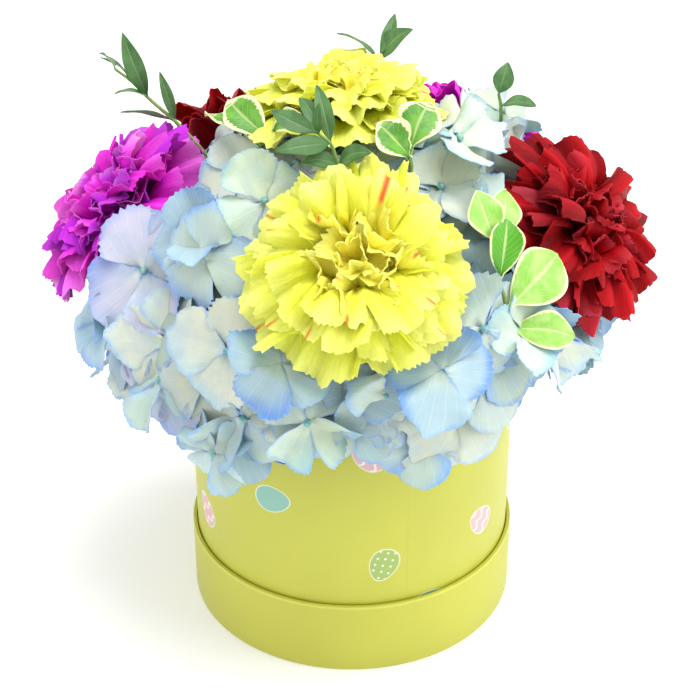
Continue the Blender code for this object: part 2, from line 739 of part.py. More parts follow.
def build_head(name, florets, draws):
    """One hydrangea head: its core, a pedicel and four sepals for each floret, and its stalk."""
    sector, foot = HEADS[name]
    shapes = [head_core()]
    for (azimuth, polar, reach, radius), level in florets:
        reach += level
        point = place(azimuth, polar, reach)
        root = place(azimuth, min(polar, PEDICEL_POLAR), PEDICEL_ROOT)
        lean = min(polar, FLORET_STEEPEST) + draws.uniform(-FLORET_LEAN, FLORET_LEAN)
        plate = floret(radius, reach, draws)
        plate.transform(standing(point, heading(azimuth, lean), draws.uniform(0, pi / 2)))
        shapes += [tube([root, point], PEDICEL_RADIUS, 3), plate]
    radius, top = BODY_RADIUS + WALL_CLEARANCE, CORE_FLOOR - GAP
    wall_room = turned(((0, 0), (radius, 0), (radius, top), (0, top)), WALL_ROOM_SIDES)
    cutters = [wall_room, *sector_cutters(sector), *bloom_cutters(), *sprig_cutters()]
    fused(f"hydrangea_{name}", shapes, "hydrangea", cutters)
    stalk = tube([foot_place(foot, HOLE_FLOOR), foot_place(foot, CORE_FLOOR - GAP)],
                 STALK_RADIUS, STALK_SIDES)
    add_node(f"hydrangea_{name}_stalk", stalk, "stem")


def main():
    clear_scene()
    draws = random.Random(12)
    build_lid()
    build_body()
    build_liner()
    build_foam()
    for name, sprig in SPRIGS.items():
        build_sprig(name, sprig)
    for name, bloom in BLOOMS.items():
        build_bloom(name, bloom, draws)
    spots = lattice_florets()
    florets = list(zip(spots, floret_levels(spots)))
    for name in HEADS:
        build_head(name, [pair for pair in florets if sector_of(pair[0][0]) == name], draws)


main()
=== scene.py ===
"""Looks of the flower hat box, laid out as a Blender add-on. A round paper box stands in its
upturned lid, filled with hydrangea, carnations, eucalyptus and pittosporum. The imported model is
the frame: a new piece stands where its solid does, and what stays solid gets its material.

Metres, +Z up, -Y is the front. Places in the dome are (azimuth, polar, reach): azimuth turns
about Z from +X, polar leans away from +Z, reach is the distance from the dome's centre. Angles in
the tables are degrees."""

from collections import namedtuple
from functools import lru_cache
from math import acos, cos, degrees, pi, radians, sin, sqrt

import bmesh
import bpy
import numpy as np
from bpy.props import FloatProperty, FloatVectorProperty, PointerProperty
from bpy.types import Operator, Panel, PropertyGroup
from mathutils import Matrix, Vector


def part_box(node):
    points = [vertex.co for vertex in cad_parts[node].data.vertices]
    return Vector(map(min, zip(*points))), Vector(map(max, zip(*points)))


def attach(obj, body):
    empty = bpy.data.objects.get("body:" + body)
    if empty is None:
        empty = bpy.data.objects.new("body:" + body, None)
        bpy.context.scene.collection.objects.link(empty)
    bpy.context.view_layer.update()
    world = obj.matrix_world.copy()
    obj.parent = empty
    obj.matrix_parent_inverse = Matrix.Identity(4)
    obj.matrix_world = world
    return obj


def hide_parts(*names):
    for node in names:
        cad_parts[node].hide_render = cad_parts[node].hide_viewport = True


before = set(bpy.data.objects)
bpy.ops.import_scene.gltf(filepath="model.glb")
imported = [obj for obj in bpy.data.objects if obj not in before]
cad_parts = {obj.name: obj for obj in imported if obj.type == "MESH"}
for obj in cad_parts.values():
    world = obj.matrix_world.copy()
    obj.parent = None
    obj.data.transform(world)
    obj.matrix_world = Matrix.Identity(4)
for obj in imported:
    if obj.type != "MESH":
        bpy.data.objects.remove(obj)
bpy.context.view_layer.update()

bl_info = {
    "name": "Flower hat box",
    "version": (1, 0, 0),
    "blender": (4, 5, 0),
    "location": "3D View > Sidebar > Hat box",
    "description": "Builds the looks of a round paper hat box filled with flowers",
    "category": "Object",
}

MM = 0.001
WHITE = (1.0, 1.0, 1.0)
DOME = Vector((0.0, 0.0, 0.101))
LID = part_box("lid_rim")
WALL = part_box("box_wall")
FOAM_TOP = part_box("foam")[1].z
HOLE_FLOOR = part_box("yellow_front_stem")[0].z
STEM_END = HOLE_FLOOR + 0.0002
STEM_ENTRY = FOAM_TOP + 0.001
# How softly petals and sepals give way to what they press on
SOFTNESS = 0.0012

# Carnations: ring of outer petal tips, its radius, depth against a full bloom, where it faces,
# and the stem's place in the foam (azimuth, distance)
Bloom = namedtuple("Bloom", "colour ring radius depth facing foot")
BLOOMS = {
    "yellow_front": Bloom("yellow", (-89, 45, 0.096), 0.0385, 1.0, (-86, 43), (-88, 0.020)),
    "yellow_top": Bloom("yellow", (190, 2, 0.0920), 0.0362, 0.84, (90, 8), (60, 0.005)),
    "purple_left": Bloom("purple", (174, 59, 0.093), 0.0385, 1.0, (-177, 42), (176, 0.024)),
    "purple_back": Bloom("purple", (58, 60, 0.0935), 0.0340, 1.0, (58, 52), (55, 0.026)),
    "red_right": Bloom("red", (-3, 58, 0.0905), 0.0380, 1.0, (-24, 51), (0, 0.024)),
    "red_back": Bloom("red", (126, 58, 0.092), 0.0340, 1.0, (126, 52), (124, 0.026)),
}
PRESSED = (("yellow_front", "yellow_top"), ("purple_left", "red_back"),
           ("red_right", "purple_back"))
# A bloom's own sizes are for an outer radius of 39.5 mm
BLOOM_RADIUS = 0.0395
RING_HEIGHT = 0.0140
# The stem: its radius below the calyx, how much it tapers, and its radius in the hole
STEM_RADII = (0.0022, 0.0003, 0.0017)
CALYX_LENGTH = 0.0220
CALYX = ((2.4, -22.0), (3.2, -21.6), (4.4, -19.5), (5.6, -15.0), (6.6, -9.0), (7.1, -4.0),
         (7.0, 0.0), (6.2, 1.2), (5.0, 0.6))
# Rings of petals: number, spine as (reach, height) points, half width, radius of the cup that a
# petal is bent to and height of its folds, in mm, and how far it rolls about its length
Ring = namedtuple("Ring", "petals spine half cup ruffle roll")
RINGS = (
    Ring(9, ((3, 0), (7, 15), (24, 19), (39.5, 9)), 18.0, 60, 2.7, 14),
    Ring(9, ((3, 2), (6, 18), (20, 25), (36.0, 17)), 17.0, 44, 3.0, 20),
    Ring(8, ((3, 4), (6, 18), (16, 28), (30.5, 23)), 15.0, 32, 3.2, 26),
)
# Bunches of crumpled petals in the heart: direction, distance from the middle in mm, lean
BUNCHES = ((118, 10.0, 30), (48, 10.0, 30), (-14, 9.5, 28), (-82, 10.5, 32), (-150, 10.0, 30),
           (0, 0.0, 0))
BUNCH_PETALS = 4
HEART_LEVEL = len(RINGS)
# Height of the bunches' foot, length and half width of their petals, cup and folds, in mm
Heart = namedtuple("Heart", "foot length half cup ruffle roll")
HEART = Heart(15.0, 17.5, 12.0, 13.0, 2.1, 22.0)
# Greatest height of a petal above the calyx
HIGHEST = 0.0315
# Painted shade in the valleys of the folds: how much darker they are painted, and how much the
# petals of a bloom differ in tone
FOLD_SHADE = {"yellow": 0.07, "purple": 0.22, "red": 0.42}
PETAL_TONE = {"yellow": 0.05, "purple": 0.12, "red": 0.25}
# Columns and rows of a petal: in the rings, in the heart, and at the back
GRIDS = {"ring": (36, 13), "heart": (22, 9), "back": (24, 10)}
# Bold red strokes: ring, direction in the bloom, reach in mm, half width across the petal, and
# where along the petal it starts; the petal's middle stands a little beside its stroke
STROKES = {"yellow_front": ((2, 66, 24.0, 0.080, 0.66), (1, -122, 32.0, 0.030, 0.84))}
BESIDE_STROKE = radians(7)
RED_MARK = np.array((0.80, 0.03, 0.02))
# Underside of a bloom's petals in its own frame: (reach, height) in mm
ENVELOPE_FOOT = ((0.0, -3.0), (9.0, -1.0), (44.0, 5.0))

# Hydrangea heads: the sector that each fills, and the place of its stalk in the foam
HEADS = {
    "front_left": ((-188, -89), (-138, 0.034)),
    "front_right": ((-89, 5), (-42, 0.034)),
    "back_right": ((5, 89), (27, 0.036)),
    "back_left": ((89, 172), (150, 0.036)),
}
# Florets that the front shows one by one; spin is the first sepal's angle, None for a drawn one
Floret = namedtuple("Floret", "azimuth polar reach radius tint spin", defaults=(None,))
FRONT_FLORETS = tuple(Floret(*row) for row in (
    (-137, 45, 0.094, 0.0158, "blue"), (-130, 48, 0.092, 0.0175, "pale"),
    (-137, 68, 0.091, 0.0190, "white"), (-157, 72, 0.088, 0.0185, "blue"),
    (-154, 78, 0.085, 0.0165, "white"), (-136, 76, 0.087, 0.0170, "pale"),
    (-118, 64, 0.093, 0.0200, "white"), (-104, 63, 0.094, 0.0190, "blue", 60),
    (-114, 78, 0.090, 0.0180, "pale"), (-99, 75, 0.090, 0.0165, "green"),
    (-83, 70, 0.093, 0.0180, "pale"), (-72, 65, 0.094, 0.0180, "blue", -20),
    (-75, 82, 0.087, 0.0150, "pale"), (-60, 60, 0.095, 0.0200, "pale", 10),
    (-49, 64, 0.087, 0.0150, "green"), (-38, 68, 0.091, 0.0195, "white"),
    (-34, 41, 0.092, 0.0165, "pale"), (8, 26, 0.092, 0.0180, "white"),
    (31, 39, 0.093, 0.0160, "green"), (-29, 24, 0.092, 0.0180, "green"),
    (20, 46, 0.093, 0.0170, "white"), (-144, 29, 0.093, 0.0185, "white"),
    (-121, 34, 0.093, 0.0175, "green"), (-120, 87, 0.084, 0.0138, "pale"),
    (-178, 82, 0.087, 0.0175, "blue"), (-48, 29, 0.092, 0.0160, "white"),
    (-90, 24, 0.092, 0.0130, "white"), (-14, 78, 0.085, 0.0170, "pale"),
    (-169, 64, 0.087, 0.0180, "blue"), (-163, 79, 0.083, 0.0180, "pale"),
    (-147, 73, 0.084, 0.0180, "blue"), (-8, 66, 0.085, 0.0180, "white"),
    (-22, 63, 0.089, 0.0185, "pale"), (-25, 71, 0.086, 0.0185, "green"),
    (-4, 75, 0.084, 0.0175, "blue"),
))
OVER_FLORETS = {"purple_left": Floret(-149, 57, 0.098, 0.0228, "lavender", 40)}
FLORET_REACH = 0.092
SKIRT_REACH = 0.072
SKIRT_POLARS = (72.0, 98.0)
HANGING_POLAR = 73
# How far the sepals that hang over the rim keep from the wall and from the rim
WALL_GAP = 0.0012
RIM_GAP = 0.0020
# A head's stalk, how knobbly it is, and where its pedicels start: greatest polar and reach
STALK_RADIUS = 0.0029
STALK_KNOBS = 0.0002
PEDICEL_ROOT = (70.0, 0.069)
# How far down the florets hang at each azimuth
LOWEST = ((-180, 82), (-160, 78), (-136, 77), (-125, 84), (-118, 86), (-108, 79), (-97, 74),
          (-82, 72), (-77, 79), (-71, 80), (-62, 75), (-54, 67), (-46, 65), (-38, 68), (-20, 71),
          (0, 74), (20, 82), (40, 90), (165, 90), (180, 82))
# Where no floret of the lattice stands, so that the bloom behind shows: azimuth, polar, room
CLEAR = (155, 33, 15)
# Behind the top bloom the florets stand lower: azimuths, greatest polar, how much lower
BEHIND_TOP = ((60, 135), 45, 0.0075)
GOLDEN_TURN = 180 * (3 - sqrt(5))
FLORET_RADIUS = 0.0205
FLORET_SPACING = 0.0225
BLOOM_ROOM = {"back": 1.28, "front": 1.05}
LEVELS = (-0.0045, -0.0015, 0.0015, 0.0045)
FLORET_STEEPEST = 84.0
# Layers of florets: number of lattice places and their polars, how far below the dome, radius,
# points across a sepal, how freely they lean, how much painted shade darkens them, how far up
# they may reach, and how often each mood comes
Layer = namedtuple("Layer", "places polars sunk radius points lean shade room moods")
LAYERS = (
    Layer(100, (14, 88), 0.0, FLORET_RADIUS, 14, 15.0, 0.0, 0.0130, (0.42, 0.26, 0.14, 0.18)),
    Layer(96, (8, 97), 0.0050, 0.0180, 9, 22.0, 0.19, 0.0030, (0.4, 0.3, 0.1, 0.2)),
    Layer(120, (8, 97), 0.0115, 0.0185, 6, 22.0, 0.64, 0.0025, (0.5, 0.3, 0.0, 0.2)),
)
# How a floret's sepals open and bend (ranges), curl and fold
Mood = namedtuple("Mood", "opening curl bend fold")
MOODS = (Mood((-0.10, 0.22), 0.6, (-0.8, 0.3), 0.35), Mood((0.05, 0.5), 0.9, (-1.0, 0.7), 0.40),
         Mood((0.35, 1.0), 1.3, (-0.3, 0.9), 0.50), Mood((-0.45, 0.05), 1.1, (-1.2, -0.1), 0.85))
HANGING_MOODS = (0.2, 0.15, 0.15, 0.5)
# Towards the photograph's view, and how far florets turn that way in front, over a bloom, behind
VIEWER = Vector((0.0, -0.857, 0.515))
FRONT_TURNS, OVER_TURNS, BEHIND_TURNS = 0.22, 0.55, 0.60
BEHIND = 0.2

# Sprigs: the stem's foot in the foam, the path of its free end, and its leaves (number of the
# path's point that it grows from, tip, width, turn about its length)
Sprig = namedtuple("Sprig", "kind foot path leaves")
SPRIGS = {
    "eucalyptus_front": Sprig("eucalyptus", (-130, 0.012), (
        (-96, 24, 0.0960), (-98, 23, 0.0985), (-100, 22, 0.1020), (-105, 22, 0.1060)), (
        (0, (-83, 27, 0.1085), 0.0064, 0), (0, (-110, 27, 0.1020), 0.0052, 0),
        (2, (-112, 15, 0.1140), 0.0050, 0), (2, (-118, 28, 0.1080), 0.0064, 0),
        (3, (-130, 21, 0.1100), 0.0058, 0), (3, (-124, 16, 0.1090), 0.0046, 0),
        (3, (-105, 20, 0.1160), 0.0030, 0))),
    "eucalyptus_back_left": Sprig("eucalyptus", (165, 0.012), (
        (157, 42, 0.1000), (160, 42, 0.1120), (161, 42, 0.1200), (163, 42, 0.1270)), (
        (0, (155, 39, 0.1170), 0.0036, 20), (0, (165, 46, 0.1150), 0.0022, 70),
        (1, (158, 39, 0.1350), 0.0062, 10), (1, (168, 43, 0.1210), 0.0044, 0),
        (2, (162, 43, 0.1330), 0.0030, 60), (3, (166, 41, 0.1345), 0.0046, 0))),
    "eucalyptus_back_top": Sprig("eucalyptus", (75, 0.013), (
        (70, 18, 0.0950), (68, 14, 0.1010), (66, 13, 0.1030)), (
        (1, (101, 14, 0.1100), 0.0036, 30), (2, (66, 18, 0.1170), 0.0040, 0),
        (1, (46, 15, 0.1140), 0.0080, 0))),
    "eucalyptus_right": Sprig("eucalyptus", (20, 0.013), (
        (27, 38, 0.0950), (27, 36, 0.0990), (27, 34, 0.1020)), (
        (2, (29, 33, 0.1130), 0.0068, 0), (1, (18, 39, 0.1060), 0.0066, 0))),
    "pittosporum_left": Sprig("pittosporum", (-165, 0.013), (
        (-144, 23, 0.0940), (-141, 21, 0.0960), (-139, 20, 0.0975)), (
        (1, (-165, 23, 0.1065), 0.0120, 0), (0, (-171, 28, 0.1040), 0.0064, 30),
        (2, (-122, 17, 0.1045), 0.0070, 0))),
    "pittosporum_right": Sprig("pittosporum", (-50, 0.014), (
        (-62, 25, 0.0945), (-62, 24, 0.0965), (-61, 23, 0.0985)), (
        (1, (-76, 18, 0.1040), 0.0120, 0), (2, (-42, 18, 0.1070), 0.0130, 0))),
    "pittosporum_side": Sprig("pittosporum", (-54, 0.027), (
        (-52, 62, 0.0900), (-52, 58, 0.0930), (-52, 52, 0.0950), (-50, 46, 0.0970)), (
        (0, (-40, 68, 0.1000), 0.0110, 0), (1, (-35, 53, 0.1000), 0.0170, 0),
        (2, (-46, 43, 0.1020), 0.0115, 10), (3, (-50, 36, 0.1020), 0.0110, 0),
        (3, (-38, 38, 0.1000), 0.0095, 0))),
    "pittosporum_rear": Sprig("pittosporum", (88, 0.024), (
        (86, 66, 0.0920), (86, 62, 0.0960), (87, 58, 0.0980)), (
        (0, (72, 75, 0.0990), 0.0120, 18), (0, (100, 71, 0.1010), 0.0100, -24),
        (1, (73, 61, 0.1050), 0.0130, -12), (1, (102, 60, 0.1030), 0.0115, 26),
        (2, (83, 48, 0.1070), 0.0105, 14))),
}
DARK_LEAF = ("pittosporum_side", 2)
TWIG_BEND = 0.0300
STEM_RISE = 0.0220
LEAF_ARCH = 0.10
LEAF_FOLD = 0.22
LEAF_WIDTH = 1.12
LEAVES_TO_VIEWER = 0.45
# Of each kind: how deep its leaves wave, and the powers that shape their outline
LEAF_WAVE = {"eucalyptus": 0.0003, "pittosporum": 0.0011}
LEAF_SHAPE = {"eucalyptus": (0.06, 0.86, 0.85), "pittosporum": (0.08, 1.10, 0.78)}

# Eggs printed on the box: azimuth, height of the middle in mm, tilt, colour and pattern
EGGS = (
    (-154, 46, -35, "pink", "waves"), (-118, 69, 82, "teal", "plain"),
    (-84, 91, -55, "pink", "waves"), (-79, 45, -163, "green", "dots"),
    (-38, 49, -53, "pink", "waves"), (-61.5, 24, -70, "teal", "plain"),
    (-12, 80, 15, "green", "dots"), (8, 44, -60, "teal", "plain"),
    (38, 70, 35, "pink", "plain"), (64, 42, -20, "green", "dots"),
    (92, 78, 70, "teal", "plain"), (118, 48, 25, "pink", "waves"),
    (146, 76, -40, "green", "dots"), (172, 44, 60, "teal", "plain"),
)


# Places and directions

def heading(azimuth, polar):
    """Unit vector that turns azimuth degrees about Z and leans polar degrees away from it."""
    turn, lean = radians(azimuth), radians(polar)
    return Vector((sin(lean) * cos(turn), sin(lean) * sin(turn), cos(lean)))


def place(azimuth, polar, reach):
    return DOME + reach * heading(azimuth, polar)


def foot_place(foot, height):
    azimuth, distance = foot
    return Vector((distance * cos(radians(azimuth)), distance * sin(radians(azimuth)), height))


def turn_between(first, second):
    """Angle in radians between two (azimuth, polar) directions."""
    return heading(*first[:2]).angle(heading(*second[:2]))


def facing(axis, spin=0.0):
    """3 x 3 matrix that turns +Z to an axis after a spin about it."""
    return axis.to_track_quat("Z", "Y").to_matrix() @ Matrix.Rotation(spin, 3, "Z")


def bloom_frame(bloom):
    """Matrix from a bloom's own frame, with its origin on top of the calyx, to the world."""
    axis = heading(*bloom.facing)
    scale = bloom.radius / BLOOM_RADIUS
    rise = scale * bloom.depth
    top = place(*bloom.ring) - axis * RING_HEIGHT * rise
    return (Matrix.Translation(top) @ facing(axis).to_4x4()
            @ Matrix.Diagonal((scale, scale, rise, 1)))


def moved(points, matrix):
    """Points of an array, carried by a 4 x 4 matrix."""
    matrix = np.array(matrix)
    return points @ matrix[:3, :3].T + matrix[:3, 3]


def rotated(first, second, angle):
    """Two coordinates turned by an angle, from the first axis to the second."""
    return (first * np.cos(angle) - second * np.sin(angle),
            first * np.sin(angle) + second * np.cos(angle))


def smooth(share):
    """Soft step from 0 to 1 over a share from 0 to 1."""
    share = np.clip(share, 0.0, 1.0)
    return share * share * (3 - 2 * share)


def bezier(points, share):
    """Point on a Bezier curve of any degree."""
    while len(points) > 1:
        points = [a.lerp(b, share) for a, b in zip(points, points[1:])]
    return points[0]


def linear(code):
    """Linear colour of a hex colour as seen on a screen."""
    values = [int(code[at:at + 2], 16) / 255 for at in (0, 2, 4)]
    return [value / 12.92 if value < 0.04045 else ((value + 0.055) / 1.055) ** 2.4
            for value in values]


def mixed(first, second, share):
    """Rows of colour between two colours, or two rows of them."""
    return first + (second - first) * np.asarray(share)[..., None]


def soft_limit(distance, limit, softness):
    """Distances that ease to a limit instead of passing it."""
    return limit - softness * np.logaddexp(0.0, (limit - distance) / softness)


def at_least_one(value):
    """A number pushed out to 1 or -1, so that what is bent by it stays defined."""
    return np.sign(value) * max(abs(value), 1.0)


# Modelling

def deselect():
    if bpy.context.object and bpy.context.object.mode != "OBJECT":
        bpy.ops.object.mode_set(mode="OBJECT")
    bpy.ops.object.select_all(action="DESELECT")


def apply(thing, kind, **settings):
    """Adds one modifier with its settings and applies it."""
    deselect()
    thing.select_set(True)
    bpy.context.view_layer.objects.active = thing
    bpy.ops.object.modifier_add(type=kind)
    step = thing.modifiers[-1]
    for name, value in settings.items():
        setattr(step, name, value)
    bpy.ops.object.modifier_apply(modifier=step.name)


def settle(thing, name, angle=30.0, finish=None):
    """Names an object, applies its place to its mesh, shades it smooth up to an angle and gives
    it its material."""
    thing.name = thing.data.name = name
    deselect()
    thing.select_set(True)
    bpy.context.view_layer.objects.active = thing
    bpy.ops.object.transform_apply(location=True, rotation=True, scale=True)
    bpy.ops.object.shade_smooth_by_angle(angle=radians(angle))
    if finish:
        thing.data.materials.clear()
        thing.data.materials.append(finish)
    return thing


def hand_over(thing, slot, *nodes):
    """The piece rides on the body and stands for its CAD nodes, which it hides. Its slot is not
    used.
    """
    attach(thing, "root")
    if nodes:
        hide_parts(*nodes)


def join(first, second, name):
    """Joins two finished objects in one piece."""
    deselect()
    first.select_set(True)
    second.select_set(True)
    bpy.context.view_layer.objects.active = first
    bpy.ops.object.join()
    first.name = first.data.name = name
    return first


def open_drum(name, radius, low, high, board, edge, finish):
    """A round tray: a cylinder whose top is inset by the board and pushed down to its floor."""
    deselect()
    bpy.ops.mesh.primitive_cylinder_add(vertices=144, radius=radius, depth=high - low,
                                        end_fill_type="NGON", location=(0, 0, (low + high) / 2))
    drum = bpy.context.object
    bpy.ops.object.transform_apply(location=True)
    bpy.ops.object.mode_set(mode="EDIT")
    bpy.ops.mesh.select_mode(type="FACE")
    shape = bmesh.from_edit_mesh(drum.data)
    for face in shape.faces:
        face.select_set(face.normal.z > 0.9)
    bmesh.update_edit_mesh(drum.data)
    bpy.ops.mesh.inset(thickness=board)
    bpy.ops.mesh.extrude_region_move(
        TRANSFORM_OT_translate={"value": (0, 0, board - (high - low))})
    bpy.ops.object.mode_set(mode="OBJECT")
    apply(drum, "BEVEL", width=edge, segments=3, limit_method="ANGLE", angle_limit=radians(40))
    return settle(drum, name, finish=finish)


def stalk(points, radii, name, finish):
    """A round stem through points, thick as the radii say, made a mesh."""
    deselect()
    bpy.ops.curve.primitive_nurbs_path_add(location=(0, 0, 0))
    path = bpy.context.object.data
    path.splines.clear()
    spline = path.splines.new("POLY")
    spline.points.add(len(points) - 1)
    for knot, point, radius in zip(spline.points, points, radii):
        knot.co = (*point, 1.0)
        knot.radius = radius
    path.dimensions = "3D"
    path.bevel_depth = 1.0
    path.bevel_resolution = 3
    path.use_fill_caps = True
    bpy.ops.object.convert(target="MESH")
    return settle(bpy.context.object, name, 50.0, finish)


def turned(profile, sides, name, finish):
    """A round form grown from a filled circle: its face is extruded up and scaled, step by step."""
    deselect()
    radius, height = profile[0]
    bpy.ops.mesh.primitive_circle_add(vertices=sides, radius=radius, fill_type="NGON",
                                      location=(0, 0, height))
    form = bpy.context.object
    bpy.ops.object.transform_apply(location=True)
    bpy.ops.object.mode_set(mode="EDIT")
    bpy.ops.mesh.select_mode(type="FACE")
    bpy.ops.mesh.select_all(action="SELECT")
    for (before, low), (after, high) in zip(profile, profile[1:]):
        bpy.ops.mesh.extrude_region_move(TRANSFORM_OT_translate={"value": (0, 0, high - low)})
        bpy.ops.transform.resize(value=(after / before, after / before, 1),
                                 center_override=(0, 0, high))
    bpy.ops.mesh.select_all(action="SELECT")
    bpy.ops.mesh.normals_make_consistent(inside=False)
    bpy.ops.object.mode_set(mode="OBJECT")
    return settle(form, name, 50.0, finish)


def through(points, steps):
    """Points on a smooth curve through the given points."""
    ends = [points[0] * 2 - points[1], *points, points[-1] * 2 - points[-2]]
    line = []
    for a, b, c, d in zip(ends, ends[1:], ends[2:], ends[3:]):
        for step in range(steps):
            t = step / steps
            line.append(0.5 * ((2 * b) + (c - a) * t + (2 * a - 5 * b + 4 * c - d) * t * t
                               + (3 * b - a - 3 * c + d) * t ** 3))
    return line + [points[-1]]


def taken():
    """Points and faces of the active object, which is then removed."""
    thing = bpy.context.object
    points = np.array([vertex.co[:] for vertex in thing.data.vertices])
    faces = np.array([face.vertices[:] for face in thing.data.polygons])
    bpy.data.objects.remove(thing, do_unlink=True)
    return points, faces


Blank = namedtuple("Blank", "u v faces column rim")


@lru_cache(maxsize=None)
def blank(columns, rows):
    """A flat blade to shape: a grid from -1 to 1, its faces, the number of each point's place
    along the edge, and whether it lies on the edge."""
    deselect()
    bpy.ops.mesh.primitive_grid_add(x_subdivisions=columns, y_subdivisions=rows, size=2)
    points, faces = taken()
    u, v = points.T[:2]
    column = np.rint((u + 1) / 2 * columns) + np.rint((v + 1) / 2 * rows)
    return Blank(u, v, faces, column.astype(int), np.maximum(np.abs(u), np.abs(v)) > 0.999)


def bud_blank():
    """Points and faces of a small ball, drawn in at four sides as a flower bud is."""
    deselect()
    bpy.ops.mesh.primitive_ico_sphere_add(subdivisions=2, radius=1)
    points, faces = taken()
    lobes = 1.0 + 0.07 * np.cos(4 * np.arctan2(points[:, 1], points[:, 0]))
    return points * lobes[:, None] * (1.0, 1.0, 0.82), faces


def pedicel_blank():
    """Points and faces of a thin six-sided rod of length 1 along +Z, in triangles."""
    deselect()
    bpy.ops.mesh.primitive_cylinder_add(vertices=6, radius=1, depth=1, end_fill_type="TRIFAN",
                                        location=(0, 0, 0.5))
    bpy.ops.object.transform_apply(location=True)
    apply(bpy.context.object, "TRIANGULATE")
    return taken()


class Sheaf:
    """Many blades, buds or rods gathered in one mesh. Each point keeps its place on its blade
    (across, along, a number of the blade's own) and its tint."""

    def __init__(self):
        self.points, self.faces, self.blades, self.tints, self.count = [], [], [], [], 0

    def add(self, points, faces, across, along, mark, tint=WHITE):
        count = len(points)
        self.points.append(points)
        self.faces.append(faces + self.count)
        self.blades.append(np.stack([np.broadcast_to(value, count)
                                     for value in (across, along, mark)], 1))
        self.tints.append(np.column_stack([np.broadcast_to(tint, (count, 3)), np.ones(count)]))
        self.count += count

    def piece(self, name, finish, thickness=0.0, angle=60.0):
        """The gathered mesh as an object, its blades thickened on both sides."""
        faces = np.concatenate(self.faces)
        mesh = bpy.data.meshes.new(name)
        mesh.vertices.add(self.count)
        mesh.loops.add(faces.size)
        mesh.polygons.add(len(faces))
        mesh.loops.foreach_set("vertex_index", faces.astype(np.int32).ravel())
        mesh.polygons.foreach_set("loop_start", np.arange(0, faces.size, faces.shape[1]))
        mesh.vertices.foreach_set("co", self.row(self.points))
        mesh.update(calc_edges=True)
        blade = mesh.attributes.new("blade", "FLOAT_VECTOR", "POINT")
        blade.data.foreach_set("vector", self.row(self.blades))
        tint = mesh.color_attributes.new("tint", "FLOAT_COLOR", "POINT")
        tint.data.foreach_set("color", self.row(self.tints))
        mesh.materials.append(finish)
        thing = bpy.data.objects.new(name, mesh)
        bpy.context.scene.collection.objects.link(thing)
        if thickness:
            normals = np.empty(self.count * 3, np.float32)
            mesh.vertex_normals.foreach_get("vector", normals)
            apply(thing, "SOLIDIFY", thickness=thickness, offset=0.0)
            self.mark_undersides(thing.data, normals.reshape(-1, 3))
        return settle(thing, name, angle)

    @staticmethod
    def row(parts):
        return np.concatenate(parts).astype(np.float32).ravel()

    def mark_undersides(self, mesh, normals):
        """An attribute that is 1 on the lower face of each blade and 0 on the upper one."""
        count = self.count
        places = np.empty(len(mesh.vertices) * 3, np.float32)
        mesh.vertices.foreach_get("co", places)
        places = places.reshape(-1, 3)
        first_on_top = np.sum((places[:count] - places[count:2 * count]) * normals) > 0
        under = np.full(len(places), float(first_on_top), np.float32)
        under[:count] = not first_on_top
        mesh.attributes.new("under", "FLOAT", "POINT").data.foreach_set("value", under)


# Shader nodes

class Value:
    """What a shader node puts out, to reckon with as with a number."""

    def __init__(self, socket):
        self.socket = socket

    def math(self, operation, *others):
        return put("Math", dict(enumerate((self, *others))), operation=operation)

    def __add__(self, other):
        return self.math("ADD", other)

    def __sub__(self, other):
        return self.math("SUBTRACT", other)

    def __rsub__(self, other):
        return put("Math", {0: other, 1: self}, operation="SUBTRACT")

    def __mul__(self, other):
        return self.math("MULTIPLY", other)

    def __truediv__(self, other):
        return self.math("DIVIDE", other)

    def __rtruediv__(self, other):
        return put("Math", {0: other, 1: self}, operation="DIVIDE")

    def __pow__(self, other):
        return self.math("POWER", other)

    def __abs__(self):
        return self.math("ABSOLUTE")

    def every(self):
        """All that the node puts out."""
        return [Value(socket) for socket in self.socket.node.outputs]


def put(kind, inputs, output=0, tree=None, **settings):
    """Adds a shader node with its settings, links or sets its inputs, and gives one output. It
    goes in the tree that its inputs come from, unless one is named."""
    tree = tree or next(value.socket.id_data for value in inputs.values()
                        if isinstance(value, Value))
    node = tree.nodes.new(f"ShaderNode{kind}")
    for name, value in settings.items():
        setattr(node, name, value)
    for key, value in inputs.items():
        socket = node.inputs[key]
        if isinstance(value, Value):
            tree.links.new(value.socket, socket)
        else:
            socket.default_value = (*value, 1.0)[:4] if socket.type == "RGBA" else value
    return Value(node.outputs[output])


def blend(share, first, second, mode="MIX"):
    """Colour between two colours, or one blended on the other."""
    return put("Mix", {0: share, 6: first, 7: second}, 2, data_type="RGBA", blend_type=mode)


def dimmed(colour, tone):
    """A colour multiplied by a number."""
    grey = put("CombineColor", {"Red": tone, "Green": tone, "Blue": tone})
    return blend(1.0, colour, grey, "MULTIPLY")


def spread(value, low, high, to_low=0.0, to_high=1.0):
    """Soft step of a value between two limits."""
    return put("MapRange", {"Value": value, "From Min": low, "From Max": high, "To Min": to_low,
                            "To Max": to_high}, interpolation_type="SMOOTHSTEP")


def noise(vector, scale, detail=2.0, roughness=0.5):
    return put("TexNoise", {"Vector": vector, "Scale": scale, "Detail": detail,
                            "Roughness": roughness})


def stretched(vector, across, along):
    return put("Mapping", {"Vector": vector, "Scale": (across, across, along)})


def about_z(vector, angle):
    return put("VectorRotate", {"Vector": vector, "Angle": angle}, rotation_type="Z_AXIS")


def scaled(vector, scale):
    return put("VectorMath", {0: vector, "Scale": scale}, operation="SCALE")


def apart(vector):
    """The three numbers of a vector."""
    return put("SeparateXYZ", {"Vector": vector}).every()


# Kinds of the group sockets that aren't plain numbers
SOCKETS = {"Vector": "Vector", "Blade": "Vector", "Colour": "Color", "Other": "Color",
           "Ground": "Color"}


